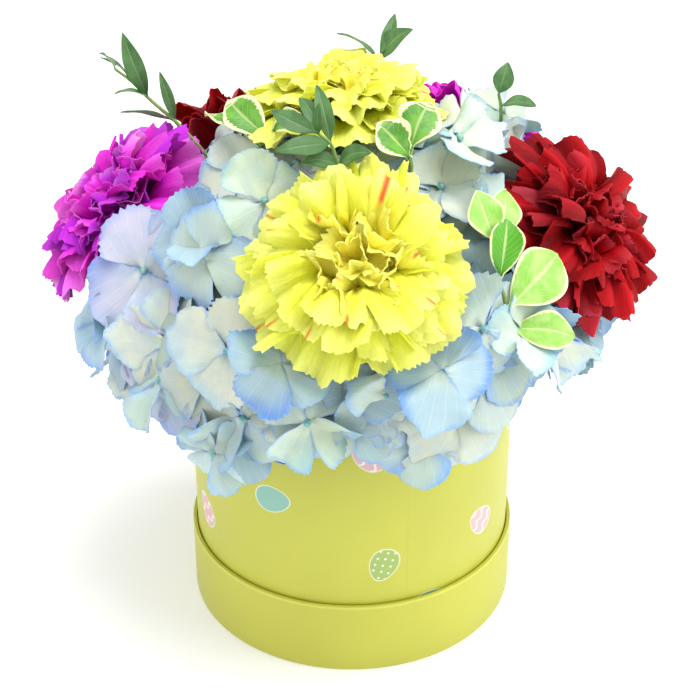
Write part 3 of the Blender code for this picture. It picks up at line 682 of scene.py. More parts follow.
def shader_group(label, inputs, outputs):
    """Makes a function of sockets a shader group, which is placed by calling the function."""
    def wrap(build):
        @lru_cache(maxsize=None)
        def group():
            tree = bpy.data.node_groups.new(label, "ShaderNodeTree")
            for side, names in (("INPUT", inputs), ("OUTPUT", outputs)):
                for name in names.split():
                    kind = SOCKETS.get(name, "Float")
                    tree.interface.new_socket(name, in_out=side, socket_type=f"NodeSocket{kind}")
            given = tree.nodes.new("NodeGroupInput").outputs[:len(inputs.split())]
            out = tree.nodes.new("NodeGroupOutput").inputs
            for value, socket in zip(build(*map(Value, given)), out):
                tree.links.new(value.socket, socket)
            return tree

        def placed(*values):
            return put("Group", dict(enumerate(values)), node_tree=group()).every()
        return placed
    return wrap


@shader_group("Paper", "Vector Colour Fibre", "Colour Roughness Height")
def paper(vector, colour, fibre):
    """Paper pressed on board: soft clouds of tone, fine fibres and a faint tooth."""
    clouds = noise(vector, 28.0, 3.0)
    fibres = noise(stretched(vector, 900.0, 260.0), 1.0, 3.0, 0.65)
    grain = noise(vector, 2600.0)
    tone = spread(clouds, 0.3, 0.7, 0.965, 1.015) + (fibres - 0.5) * 0.05
    return scaled(colour, tone), spread(fibres, 0.3, 0.7, 0.46, 0.60), fibres * fibre + grain * 0.35


@shader_group("Fan veins", "Blade Number Fan Vector", "Lines Folds")
def fan_veins(blade, number, fan, vector):
    """Veins that fan out from the foot of a petal or sepal."""
    across, along, _ = apart(blade)
    wander = (noise(vector, 220.0) - 0.5) * 0.16
    at = across / (1.0 - fan * (1.0 - along)) + wander
    wave = (at * number * pi).math("SINE")
    return spread(abs(wave), 0.30, 0.0), spread(wave, -1.0, 1.0)


@shader_group("Leaf veins", "Blade Number Slant Vector", "Lines Midrib")
def leaf_veins(blade, number, slant, vector):
    """A leaf's midrib, and side veins that leave it at a slant."""
    across, along, _ = apart(blade)
    side = abs(across)
    run = along - side * slant + (noise(vector, 260.0) - 0.5) * 0.05
    wave = abs((run * number * pi).math("SINE"))
    return spread(wave, 0.28, 0.0), spread(side, 0.13, 0.02)


@shader_group("Mottle", "Vector Colour Other Scale Amount", "Colour Patches")
def mottle(vector, colour, other, scale, amount):
    """Uneven colour: a second colour comes through in soft patches."""
    patches = spread(noise(vector, scale, 3.0, 0.6), 0.38, 0.68)
    return blend(patches * amount, colour, other), patches


@shader_group("Printed egg", "Vector Ground Turn Height Tilt Size Radius Colour Dots Waves",
              "Colour")
def printed_egg(vector, ground, turn, height, tilt, size, radius, colour, dots, waves):
    """One egg printed on the round wall, with a pale outline and dots or wavy stripes in it."""
    outward, aside, up = apart(about_z(vector, turn * -1.0))
    flat = put("CombineXYZ", {"X": aside.math("ARCTAN2", outward) * radius, "Y": up - height})
    sized = scaled(about_z(flat, tilt), 1.0 / size)
    wide, tall, _ = apart(sized)
    belly = 0.76 - tall * 0.14
    distance = ((wide / belly) ** 2.0 + tall ** 2.0).math("SQRT")
    lines = (tall * 8.5 + (wide * 9.0).math("SINE") * 1.1).math("SINE")
    cells = put("TexVoronoi", {"Vector": sized, "Scale": 2.4, "Randomness": 0.15}, "Distance",
                voronoi_dimensions="2D")
    pattern = (spread(lines, 0.68, 0.92) * waves).math("MAXIMUM", spread(cells, 0.20, 0.13) * dots)
    inside = blend(pattern * 0.70, colour, (0.93, 0.93, 0.86))
    outlined = blend(spread(distance, 1.085, 1.05), ground, (0.72, 0.74, 0.56))
    return (blend(spread(distance, 1.02, 0.98), outlined, inside),)


# Materials

class Finish:
    """A material in the making: its tree, and what its patterns start from."""

    def __init__(self, name):
        self.material = bpy.data.materials.new(name)
        self.material.use_nodes = True
        self.tree = self.material.node_tree
        self.place = put("TexCoord", {}, "Object", self.tree)

    def attribute(self, name, output):
        return put("Attribute", {}, output, self.tree, attribute_name=name)

    def done(self, colour, roughness, height, strength, distance, **constants):
        """Links the patterns to the shader, sets its constants and gives the material."""
        shader = self.tree.nodes["Principled BSDF"]
        bump = put("Bump", {"Height": height, "Strength": strength, "Distance": distance})
        for key, value in (("Base Color", colour), ("Roughness", roughness), ("Normal", bump)):
            self.tree.links.new(value.socket, shader.inputs[key])
        for key, value in constants.items():
            shader.inputs[key.replace("_", " ")].default_value = value
        return self.material


def paper_finish(name, colour, rim_height, radius, seam, eggs=(), box=None):
    """Yellow paper over board: lighter at its rim, partly worn and partly a painted highlight, with
    an overlap and printed eggs.
    """
    finish = Finish(name)
    plain, roughness, height = paper(finish.place, colour, 0.6)
    x, y, z = apart(finish.place)
    shade = plain
    for azimuth, up, tilt, egg_colour, pattern in eggs:
        shade, = printed_egg(
            finish.place, shade, radians(azimuth), up * MM, radians(tilt), box.egg_size, radius,
            getattr(box, f"egg_{egg_colour}"), float(pattern == "dots"), float(pattern == "waves"))
    if eggs:
        reach = (x ** 2.0 + y ** 2.0).math("SQRT")
        shade = blend(spread(reach, radius - 0.0006, radius - 0.0003), plain, shade)
    # The top of the rim is lighter: partly worn paper, partly a painted highlight on the edge
    worn_and_highlit = spread(z + noise(finish.place, 90.0, 4.0, 0.7) * 0.0012, rim_height + 0.0001,
                    rim_height + 0.0007)
    shade = blend(worn_and_highlit * 0.40, shade, (0.78, 0.77, 0.12))
    outward, aside, _ = apart(about_z(finish.place, -radians(seam)))
    this_side = spread(outward, 0.0, 0.01)
    line = spread(abs(aside), 0.00035, 0.0001) * this_side
    shade = blend(line * 0.10, shade, (0.34, 0.31, 0.05))
    height += spread(aside, -0.0002, 0.0002) * this_side * 0.7
    return finish.done(shade, roughness, height, 0.22, 0.00025,
                       Coat_Weight=0.30, Coat_Roughness=0.42)


def petal_finish(name, sheen, sheen_tint, soft, veins, shine):
    """A fresh petal: its own tint, fanned veins and folds, and light that goes a little through."""
    finish = Finish(name)
    lines, folds = fan_veins(finish.attribute("blade", "Vector"), veins, 0.0, finish.place)
    shaded = dimmed(finish.attribute("tint", "Color"), 1.0 - lines * 0.05)
    cells = noise(finish.place, 1500.0, 2.0, 0.6)
    clouds = noise(finish.place, 130.0, 3.0, 0.6)
    tone = spread(clouds, 0.3, 0.7, 0.90, 1.06) + (cells - 0.5) * 0.12
    height = folds * 0.5 + lines * -0.35 + (clouds * 0.8 + cells * 0.22)
    return finish.done(dimmed(shaded, tone), spread(clouds, 0.3, 0.7, 0.50, 0.66), height, 0.5,
                       0.0005, Sheen_Weight=sheen, Sheen_Roughness=0.35,
                       Sheen_Tint=(*sheen_tint, 1.0), Subsurface_Weight=soft,
                       Subsurface_Radius=(1.0, 0.8, 0.5), Subsurface_Scale=0.002,
                       Specular_IOR_Level=shine)


def sepal_finish(settings):
    """A hydrangea sepal: pale in the middle, with blue that gathers at its rim, fine pale veins
    and soft patches."""
    finish = Finish("sepal")
    blade = finish.attribute("blade", "Vector")
    fine, _ = fan_veins(blade, 7.0, 0.62, finish.place)
    broad, folds = fan_veins(blade, 2.5, 0.62, finish.place)
    veins = (fine * 0.5).math("MAXIMUM", broad * 0.8)
    patched, patches = mottle(finish.place, finish.attribute("tint", "Color"),
                              settings.bruise_colour, 95.0, 0.30)
    clouds = noise(finish.place, 150.0, 3.0, 0.6)
    near_rim = spread(apart(blade)[2] + (clouds - 0.5) * 0.55, 0.84, 1.08)
    rimmed = blend(near_rim * 0.66, patched, settings.rim_colour)
    veined = blend(veins * 0.15, rimmed, settings.vein_colour)
    colour = dimmed(veined, noise(finish.place, 1300.0, 2.0, 0.6) * 0.06 + 0.97)
    height = veins * -0.25 + (folds * 0.5 + clouds * 0.7)
    return finish.done(colour, spread(patches, 0.0, 1.0, 0.46, 0.60), height, 0.42, 0.0005,
                       Subsurface_Weight=0.30, Subsurface_Radius=(0.6, 0.85, 1.0),
                       Subsurface_Scale=0.002, Specular_IOR_Level=0.35, Sheen_Weight=0.05)


def leaf_finish(name, colour, other, under, veins, slant, rough, margin=None, deep=None,
                fingers_long=0.52):
    """A leaf: midrib and veins, a paler underside, and for pittosporum a cream margin that
    runs in jagged fingers into the green."""
    finish = Finish(name)
    blade = finish.attribute("blade", "Vector")
    across, along, mark = apart(blade)
    lines, midrib = leaf_veins(blade, veins, slant, finish.place)
    shade, patches = mottle(finish.place, colour, other, 170.0, 0.75)
    if deep:
        shade = blend(spread(mark, 0.78, 0.80), shade, deep)
    shade = blend(finish.attribute("under", "Fac") * 0.6, shade, under)
    shade = blend(lines * 0.22, shade, under)
    if margin:
        edge = put("CombineXYZ", {"X": across.math("SIGN") * 3.0, "Y": along * 14.0,
                                  "Z": mark * 40.0})
        reach = 1.0 - noise(edge, 1.6, 3.0, 0.65) * fingers_long
        side = abs(across).math("MAXIMUM", along * 0.86)
        shade = blend(spread(side - reach, -0.02, 0.05), shade, margin)
    shade = blend(midrib * 0.55, shade, under)
    height = patches * 0.5 - (lines * 0.5 + midrib)
    return finish.done(shade, spread(patches, 0.0, 1.0, rough, rough + 0.14), height, 0.45,
                       0.0004, Subsurface_Weight=0.08, Subsurface_Scale=0.001,
                       Specular_IOR_Level=0.5)


def stem_finish(name, colour, other, rough=0.5):
    """Green bark: lengthwise streaks with lighter and darker patches."""
    finish = Finish(name)
    mottled, _ = mottle(finish.place, colour, other, 230.0, 0.8)
    streaks = noise(stretched(finish.place, 1500.0, 180.0), 1.0)
    return finish.done(dimmed(mottled, spread(streaks, 0.3, 0.7, 0.85, 1.12)),
                       spread(streaks, 0.3, 0.7, rough, rough + 0.15), streaks, 0.35, 0.0003,
                       Subsurface_Weight=0.05, Subsurface_Scale=0.001)


def bead_finish(settings):
    """The closed buds in the middle of the florets: blue with a greenish, paler crown."""
    finish = Finish("floret_bead")
    mottled, _ = mottle(finish.place, finish.attribute("tint", "Color"), settings.bead_crown,
                        700.0, 0.7)
    grain = noise(finish.place, 2500.0)
    return finish.done(mottled, spread(grain, 0.3, 0.7, 0.40, 0.55), grain, 0.3, 0.0002,
                       Subsurface_Weight=0.15, Subsurface_Scale=0.0008)


def foam_finish():
    """Wet floral foam: fine open pores, darkened with painted shade, and darker, soaked patches."""
    finish = Finish("wet_foam")
    mottled, _ = mottle(finish.place, (0.03, 0.16, 0.06), (0.01, 0.07, 0.03), 45.0, 0.8)
    pores = put("TexVoronoi", {"Vector": finish.place, "Scale": 1100.0}, "Distance")
    pits = spread(pores, 0.05, 0.45)
    # Painted shade: the pores are darker than the foam around them
    return finish.done(dimmed(mottled, pits * 0.6 + 0.55), spread(pits, 0.0, 1.0, 0.98, 0.85),
                       pits, 0.6, 0.0005)


def film_finish():
    """Thin plastic film: faint creases and a milky haze."""
    finish = Finish("liner_film_sheet")
    mottled, patches = mottle(finish.place, (0.80, 0.83, 0.81), (0.66, 0.71, 0.69), 40.0, 0.5)
    creases = put("TexVoronoi", {"Vector": finish.place, "Scale": 70.0}, "Distance",
                  feature="DISTANCE_TO_EDGE")
    return finish.done(mottled, spread(patches, 0.0, 1.0, 0.18, 0.34),
                       spread(creases, 0.06, 0.0), 0.4, 0.0004)


def floor_finish(colour):
    """The studio's floor: evenly pale, with the faintest grain."""
    finish = Finish("studio_floor")
    clouds, _ = mottle(finish.place, colour, [0.985 * part for part in colour], 3.0, 0.5)
    grain = noise(finish.place, 300.0)
    return finish.done(clouds, spread(grain, 0.3, 0.7, 0.75, 0.85), grain, 0.02, 0.0005,
                       Emission_Color=(*WHITE, 1.0), Emission_Strength=0.20)


# Carnations

def spine_at(spine, share):
    """Points on a cubic curve of (reach, height) points, and the normal at each."""
    a, b, c, d = spine
    s = share[:, None]
    point = (1 - s) ** 3 * a + 3 * s * (1 - s) ** 2 * b + 3 * s * s * (1 - s) * c + s ** 3 * d
    slope = (1 - s) ** 2 * (b - a) + 2 * s * (1 - s) * (c - b) + s * s * (d - c)
    slope = slope / np.linalg.norm(slope, axis=1, keepdims=True)
    return point, np.stack([-slope[:, 1], slope[:, 0]], 1)


def crease(angle):
    """A wave with nearly straight sides, as folds in a petal have."""
    return np.arcsin(0.94 * np.sin(angle)) / 1.22


def ragged_edge(u, v, draws, columns, rows):
    """How many teeth a petal is shorter at each point: uneven teeth and a cleft or two."""
    at = np.arange(columns + 1)
    notch = np.where(at % 2, draws.uniform(0.15, 1.0, len(at)), draws.uniform(0, 0.2, len(at)))
    for _ in range(draws.integers(1, 4)):
        cleft = draws.uniform(0.15, 0.85) * columns
        notch += draws.uniform(0.8, 2.4) * np.exp(-((at - cleft) / (columns / 28)) ** 2)
    notch = notch[np.rint((u + 1) / 2 * columns).astype(int)]
    before_last = (v < 0.999) & (v > 1 - 1.5 / rows)
    return np.where(v > 0.999, notch, np.where(before_last, np.maximum(notch - 1.3, 0.0), 0.0))


def petal(shape, turn, draws, sizes, grid):
    """Points of one petal in the bloom's own frame: a fan that rises from the calyx, bends
    outwards and is folded along its length, more towards its toothed edge."""
    sheet = blank(*grid)
    u, v = sheet.u, (sheet.v + 1) / 2
    phase = draws.uniform(0, 2 * pi, 6)
    spine = np.array(shape.spine) * MM
    length = np.linalg.norm(np.diff(spine, axis=0), axis=1).sum()
    rounding = draws.uniform(0.08, 0.24)
    teeth = ragged_edge(u, v, draws, *grid) * sizes.tooth / length
    share = v * (1 - rounding * u * u * v) - teeth
    share = np.clip(share + 0.014 * np.sin(5.3 * u + phase[3]) * v ** 3, 0.0, 1.02)
    point, normal = spine_at(spine, share)
    half = shape.half * MM * draws.uniform(0.9, 1.08) * (0.12 + 0.88 * share ** 0.8)
    folds = pi * draws.uniform(1.6, 2.7) * min(shape.half / 16, 1.0)
    fan = u + 0.07 * np.sin(4 * share + phase[4])
    wave = crease(folds * fan + phase[0])
    rise = shape.ruffle * MM * sizes.ruffle * (
        share ** 1.5 * wave + 0.32 * share ** 3 * crease(2.5 * folds * fan + phase[1]))
    rise += sizes.pleat * share ** 2 * np.sin(draws.uniform(18, 26) * u + phase[2])
    rise += 1.1 * MM * share * np.sin(7 * share + phase[5] + 2 * u)
    cup = shape.cup * MM
    rise += cup * (1 - np.cos(u * half / cup))
    side = cup * np.sin(u * half / cup)
    roll = radians(draws.uniform(-shape.roll, shape.roll)) * smooth(share * 1.4)
    side, rise = rotated(side, rise, roll)
    reach, height = (point + normal * rise[:, None]).T
    x, y = rotated(reach, side, turn)
    return np.stack([x, y, height], 1), sheet.faces, u, share, wave


def outer_petals(draws):
    """Levels, directions, shapes and frames of the petals in a bloom's rings."""
    for level, ring in enumerate(RINGS):
        for number in range(ring.petals):
            turn = 2 * pi * (number + 0.37 * level) / ring.petals + draws.uniform(-0.22, 0.22)
            spine = np.array(ring.spine, float)
            spine[2:, 0] *= draws.uniform(0.86 - 0.05 * level, 1.03)
            spine[2:, 1] += draws.uniform(-2.5, 2.5) * (1 + 0.5 * level)
            spine[3, 1] += draws.uniform(-3.5, 2.0)
            yield level, turn, ring._replace(spine=spine), Matrix()


def heart_petals(draws):
    """The same for the petals in the heart: each bunch of them is cupped round a middle of its
    own, with one tight petal at its core."""
    for bunch_turn, off, bunch_lean in BUNCHES:
        turn = radians(bunch_turn + draws.uniform(-12, 12))
        lean = radians(bunch_lean * draws.uniform(0.8, 1.2))
        foot = Vector((off * MM * cos(turn), off * MM * sin(turn), HEART.foot * MM))
        tilt = Matrix.Rotation(lean, 4, Vector((-sin(turn), cos(turn), 0)))
        carry = Matrix.Translation(foot * 0.6) @ tilt @ Matrix.Translation((0, 0, foot.z * 0.4))
        start = draws.uniform(0, 360)
        for number in range(BUNCH_PETALS + 1):
            core = number == BUNCH_PETALS
            length = HEART.length * draws.uniform(0.80, 1.10)
            opening = draws.uniform(4, 12) if core else draws.uniform(14, 52)
            angles = np.radians((0.4 * opening, opening, opening + draws.uniform(-10, 70)))
            steps = length * np.array((0.40, 0.30, 0.30))[:, None] * np.stack(
                [np.sin(angles), np.cos(angles)], 1)
            spine = np.vstack([(0.8, 0.0), np.cumsum(steps, 0) + (0.8, 0.0)])
            around = radians(start + 360 * number / BUNCH_PETALS + draws.uniform(-22, 22))
            cup = HEART.cup * draws.uniform(0.8, 1.6) * (0.4 if core else 1.0)
            half = HEART.half * draws.uniform(0.8, 1.12) * (0.6 if core else 1.0)
            shape = Ring(1, spine, half, cup, HEART.ruffle, HEART.roll)
            yield HEART_LEVEL + (off == 0), around, shape, carry


def petal_tint(colour, level, u, share, strokes, draws, palette):
    """Colour of a petal's points, from its darker foot, partly its own tone and partly painted
    shade, to its edge.
    """
    # The deep colour darkens the foot of a petal: partly its own tone, partly painted shade
    main, deep, edge, heart = palette
    in_heart = level >= HEART_LEVEL
    tone = draws.uniform(-1, 1)
    if colour == "yellow":
        deep = mixed(deep, heart, 0.95 * in_heart)
        row = mixed(deep, main, smooth((share - 0.1) / 0.5))
        gold = min(max((level - 1.3 + 0.5 * tone) / 1.8, 0.0), 1.0)
        row = mixed(row, heart, gold * (1 - 0.5 * smooth((share - 0.6) / 0.4)))
        row = mixed(row, edge, 0.55 * smooth((share - 0.72) / 0.28))
        flecks = [(draws.uniform(-0.8, 0.8), draws.uniform(0.02, 0.05), draws.uniform(0.78, 0.94))
                  for _ in range(draws.integers(0, 2 + 2 * in_heart))]
        for at, width, start in (*flecks, *strokes):
            mark = np.exp(-((u - at) / width) ** 4) * smooth((share - start) / 0.08)
            row = mixed(row, RED_MARK, np.minimum(mark, 1.0) * 0.95)
    else:
        row = mixed(deep, main, smooth((share - 0.1) / 0.5))
        patch = 0.5 + 0.5 * np.sin(3 * u + draws.uniform(0, 6))
        other, crest = draws.random() < 0.2, draws.choice((0.1, 0.35, 1.0), p=(0.68, 0.22, 0.10))
        crest = min(crest + 0.40 * in_heart, 1.0)
        row = mixed(row, heart, np.full(len(u), 0.7 * other))
        row = mixed(row, edge, smooth((share - 0.62) / 0.38) * crest * (0.4 + 0.6 * patch))
    return row * (1.0 + PETAL_TONE[colour] * tone)


def press_at_planes(points, name):
    """Petals give way at the plane between two blooms that press on each other."""
    pair = next(pair for pair in PRESSED if name in pair)
    bloom, other = BLOOMS[name], BLOOMS[pair[1 - pair.index(name)]]
    here, there = place(*bloom.ring), place(*other.ring)
    meeting = here.lerp(there, bloom.radius / (bloom.radius + other.radius))
    outwards = np.array((there - here).normalized())
    distance = (points - np.array(meeting)) @ outwards
    return points + (soft_limit(distance, -0.0004, SOFTNESS) - distance)[:, None] * outwards


def press_under_floret(points, name):
    """Petals give way below the floret that lies over the bloom's edge."""
    if name not in OVER_FLORETS:
        return points
    spot = OVER_FLORETS[name]
    outwards = np.array(heading(spot.azimuth, spot.polar))
    from_spot = points - np.array(place(spot.azimuth, spot.polar, spot.reach - 0.0030))
    above = from_spot @ outwards
    beside = np.linalg.norm(from_spot - above[:, None] * outwards, axis=1)
    weight = (1 - smooth((beside / spot.radius - 0.75) / 0.4)) * (above < 0.03)
    return points + ((soft_limit(above, 0.0, 0.0010) - above) * weight)[:, None] * outwards


def make_bloom(name, bloom, settings, finish, draws):
    """All petals of one carnation as one piece."""
    frame_of = bloom_frame(bloom)
    palette = [np.array(getattr(settings, f"{bloom.colour}_{part}")) for part in PETAL_PARTS]
    petals = [*outer_petals(draws), *heart_petals(draws)]
    strokes = {}
    for level, direction, reach, width, start in STROKES.get(name, ()):
        direction = radians(direction)
        nearest = min((number for number, other in enumerate(petals) if other[0] == level),
                      key=lambda number: -cos(petals[number][1] - direction))
        _, _, shape, carry = petals[nearest]
        petals[nearest] = (level, direction + BESIDE_STROKE, shape, carry)
        shape.spine[2:, 1] += 1.5
        strokes[nearest] = [(-reach * sin(BESIDE_STROKE) / (0.85 * shape.half), width, start)]
    sheaf = Sheaf()
    for number, (level, turn, shape, carry) in enumerate(petals):
        part = "back" if name.endswith("back") else "ring" if level < HEART_LEVEL else "heart"
        places, faces, u, share, wave = petal(shape, turn, draws, settings, GRIDS[part])
        places = moved(places, carry)
        places[:, 2] = soft_limit(places[:, 2], HIGHEST, SOFTNESS)
        places = press_under_floret(press_at_planes(moved(places, frame_of), name), name)
        tint = petal_tint(bloom.colour, level, u, share, strokes.get(number, ()), draws, palette)
        # Painted shade: the tint is darker in the valleys of the folds, half as much in the heart
        depth = FOLD_SHADE[bloom.colour] * (0.5 if part == "heart" else 1.0)
        tint = tint * (1 + depth * (wave * share - 0.3))[:, None]
        sheaf.add(places, faces, u, share, level + draws.random(), np.clip(tint, 0, 1))
    piece = sheaf.piece(f"{name}_carnation", finish, settings.petal_thickness)
    hand_over(piece, f"{bloom.colour}_petal", f"{name}_petals")


def make_bloom_stem(name, bloom, finish):
    """Calyx with its five teeth, and the stem that bends down into its hole in the foam."""
    frame_of = bloom_frame(bloom)
    profile = [(radius * MM, height * MM) for radius, height in CALYX]
    calyx = turned(profile, 30, "calyx", finish)
    for vertex in calyx.data.vertices:
        tooth = smooth((vertex.co.z / MM + 5.0) / 6.0)
        vertex.co.z += 1.6 * MM * tooth * abs(cos(2.5 * np.arctan2(vertex.co.y, vertex.co.x)))
    calyx.data.transform(frame_of)
    bends = [frame_of @ Vector((0, 0, -CALYX_LENGTH * share)) for share in (0.8, 1.7)]
    bends += [foot_place(bloom.foot, height) for height in (FOAM_TOP + STEM_RISE, STEM_ENTRY)]
    points = [bezier(bends, step / 16) for step in range(17)]
    points.append(foot_place(bloom.foot, STEM_END))
    wide, taper, narrow = STEM_RADII
    radii = [wide - taper * step / 16 for step in range(17)] + [narrow]
    piece = join(calyx, stalk(points, radii, "stem", finish), f"{name}_calyx_and_stem")
    hand_over(piece, "stem", f"{name}_stem")


# Hydrangea

def floret_reach(polar):
    """Distance of a floret from the dome's centre: it draws in over the rim of the box."""
    start, end = SKIRT_POLARS
    drawn_in = float(smooth((polar - start) / (end - start)))
    return FLORET_REACH + (SKIRT_REACH - FLORET_REACH) * drawn_in


def lowest_polar(azimuth):
    return float(np.interp((azimuth + 180) % 360 - 180, *zip(*LOWEST)))


def drawn_tint(azimuth, draws):
    """Tint of a floret by its side of the dome: lavender and blue on the left, green-white on
    the right, and all of them behind."""
    side = cos(radians(azimuth))
    chances = np.array((0.30, 0.30, 0.22, 0.08 - 0.08 * side, 0.14 + 0.10 * side))
    return draws.choice(("white", "pale", "blue", "lavender", "green"), p=chances / chances.sum())


def spiral(layer):
    """Azimuths and polars of an even spiral lattice."""
    top, bottom = (cos(radians(polar)) for polar in layer.polars)
    for number in range(layer.places):
        polar = degrees(acos(top + (bottom - top) * (number + 0.5) / layer.places))
        yield number * GOLDEN_TURN, polar


def lattice_florets(draws):
    """The front's own florets, then those of the lattice where there is room."""
    placed = [*FRONT_FLORETS, *OVER_FLORETS.values()]
    spots = list(placed)
    (start, end), widest, lower = BEHIND_TOP
    for azimuth, polar in spiral(LAYERS[0]):
        azimuth = (azimuth + 180) % 360 - 180
        sunk = lower if start < azimuth < end and polar < widest else 0.0
        spot = Floret(azimuth, polar, floret_reach(polar) - sunk, FLORET_RADIUS,
                      drawn_tint(azimuth, draws))
        near_front = any(turn_between(spot, other) < FLORET_SPACING / FLORET_REACH
                         for other in placed)
        near_bloom = any(
            turn_between(spot, bloom.ring) * FLORET_REACH
            < bloom.radius * BLOOM_ROOM["back" if name.endswith("back") else "front"]
            for name, bloom in BLOOMS.items())
        cleared = turn_between(spot, CLEAR) < radians(CLEAR[2])
        if not (near_front or near_bloom or cleared) and polar < lowest_polar(azimuth):
            spots.append(spot)
    return spots


def floret_levels(spots):
    """Height above or below the dome for each floret, unlike the florets that it lies beside."""
    levels = []
    for spot in spots:
        beside = [level for other, level in zip(spots, levels)
                  if turn_between(spot, other) * FLORET_REACH < spot.radius + other.radius]
        levels.append(max(LEVELS, key=lambda level: min(
            (abs(level - other) for other in beside), default=-abs(level))))
    return levels


def deeper_florets(layer, draws):
    """Places of the florets that fill the gaps from below."""
    for azimuth, polar in spiral(layer):
        azimuth += draws.uniform(-6, 6) + 40
        polar = min(polar, lowest_polar(azimuth) + draws.uniform(-3, 2))
        radius = layer.radius * draws.uniform(0.9, 1.1)
        yield Floret(azimuth, polar, floret_reach(polar) - layer.sunk, radius,
                     drawn_tint(azimuth, draws))


def sector_of(azimuth):
    """Name of the head whose sector holds an azimuth."""
    return next(name for name, ((start, end), _) in HEADS.items()
                if (azimuth - start) % 360 < end - start)


def sepal(radius, points, turn, lift, mood, draws):
    """One rounded, finely toothed sepal in its floret's own frame, and its place on the blade.
    It is bent along its length and curled across, as freely as its floret's mood says."""
    sheet = blank(points, points)
    x = sheet.u * np.sqrt(1 - sheet.v ** 2 / 2)
    y = sheet.v * np.sqrt(1 - sheet.u ** 2 / 2)
    outward, around = np.hypot(x, y), np.arctan2(y, x)
    phase = draws.uniform(0, 2 * pi, 3)
    ragged = np.where(sheet.column % 2 == 1, draws.uniform(0.2, 1.0, len(x)), 0.0)
    ragged = ragged * sheet.rim * smooth((y + 0.35) / 0.6) * draws.uniform(0.10, 0.40) ** 2
    x, y = x * (1 - ragged), y * (1 - ragged)
    along = (y + 1) / 2
    taper = 0.30 + 0.70 * smooth(along / draws.uniform(0.48, 0.66))
    tip = draws.uniform(-0.05, 0.15) * np.exp(-(x / 0.22) ** 2) * smooth((along - 0.75) / 0.25)
    run = radius * (0.02 + (0.97 + tip) * along)
    across = radius * draws.uniform(0.54, 0.66) * x * taper
    height = radius * (0.045 * outward ** 2 * np.sin(2 * around + phase[0])
                       + 0.035 * outward ** 3 * np.sin(5 * around + phase[1])
                       + 0.014 * outward ** 4 * np.sin(11 * around + phase[2]))
    curl = at_least_one(draws.normal(0.25, 0.55) * mood.curl / radius)
    fold = max(draws.uniform(-0.25, mood.fold), 0.0) * smooth(along * 2)
    height += (1 - np.cos(across * curl)) / curl + np.abs(across) * fold
    across = np.sin(across * curl) / curl * (1 - 0.35 * fold)
    bend = at_least_one(draws.uniform(*mood.bend) / radius)
    angle = run * bend
    run, height = np.sin(angle) / bend - height * np.sin(angle), (
        (1 - np.cos(angle)) / bend + height * np.cos(angle))
    height = height + lift * smooth(along * 2) + 0.0003
    run, height = rotated(run, height, draws.uniform(*mood.opening))
    run, across = rotated(run, across, turn)
    return np.stack([run, across, height], 1), sheet.faces, x * taper, along, outward


def press_under_blooms(points, skip):
    """Sepals give way below the petals of every bloom but one that they lie over."""
    for name, bloom in BLOOMS.items():
        if name != skip:
            frame_of = bloom_frame(bloom)
            local = moved(points, frame_of.inverted())
            reach = np.hypot(local[:, 0], local[:, 1]) / MM
            foot = np.interp(reach, *zip(*ENVELOPE_FOOT)) * MM
            above = np.maximum(local[:, 2] - foot, 0.0)
            local[:, 2] -= above * smooth((46.0 - reach) / 7.0) * (local[:, 2] < 0.045)
            points = moved(local, frame_of)
    return points


def below_the_top(points, limit):
    """Sepals of a deeper layer bend down before they would come through the layer above."""
    from_dome = points - np.array(DOME)
    reach = np.linalg.norm(from_dome, axis=1)
    return points + from_dome * ((soft_limit(reach, limit, SOFTNESS) - reach) / reach)[:, None]


def clear_of_wall(points, radius, top):
    """Sepals that hang below the rim stay outside the wall of the box."""
    reach = np.hypot(points[:, 0], points[:, 1])
    low = smooth((top - points[:, 2]) / 0.004)
    push = np.maximum(radius + WALL_GAP - reach, 0.0) * low * (reach > 0.04)
    points = points.copy()
    points[:, :2] *= (1 + push / np.maximum(reach, 0.01))[:, None]
    reach = np.hypot(points[:, 0], points[:, 1])
    inside = (points[:, 2] < top + RIM_GAP) & (reach < radius + 0.001)
    points[inside, 2] = top + RIM_GAP
    return points


def sepal_tint(tint, settings, across, along, outward, shade, draws):
    """Colour of a sepal's points: a cream foot, its own pale colour, and blue that comes in
    from its edge, more from one side than from the other; painted shade darkens the florets of
    the deeper layers."""
    body, edge, foot, dark = (np.array(getattr(settings, name)) for name in (
        f"{tint}_body", f"{tint}_edge", "foot_colour", "gap_shade_colour"))
    side = draws.uniform(0, 2 * pi)
    lean = across * cos(side) + (along - 0.5) * 2 * sin(side)
    start = draws.uniform(0.10, 0.70)
    strength = min(draws.uniform(0.40, 1.20), 1.0)
    gathered = smooth((0.65 * outward + 0.5 * lean - start) / (1.10 - start))
    row = mixed(body, edge, gathered * strength)
    row = mixed(row, foot, 0.6 * smooth(1 - along / 0.45))
    row = row * (1 + 0.08 * draws.uniform(-1, 0.6))
    # Painted shade: the florets of the deeper layers are darkened towards the gap shade colour
    return np.clip(mixed(row, row * dark, np.full(len(along), shade)), 0, 1)


def floret_frame(spot, level, layer, over, draws):
    """A floret's middle, and the matrix from its own frame to the world."""
    freely = layer.lean * (0.35 if spot.spin is not None else 1.0)
    lean = min(spot.polar, FLORET_STEEPEST) + freely * draws.uniform(-1, 1)
    sway = freely * draws.uniform(-1, 1) / max(sin(radians(spot.polar)), 0.4)
    axis = heading(spot.azimuth + sway, lean)
    turns = (OVER_TURNS if over else FRONT_TURNS) if axis.y < BEHIND else (
        BEHIND_TURNS if spot in FRONT_FLORETS else 0.0)
    axis = axis.lerp(VIEWER, turns).normalized()
    spin = draws.uniform(0, pi / 2) if spot.spin is None else radians(spot.spin)
    middle = place(spot.azimuth, spot.polar, spot.reach + level)
    return middle, Matrix.Translation(middle) @ facing(axis, spin).to_4x4()


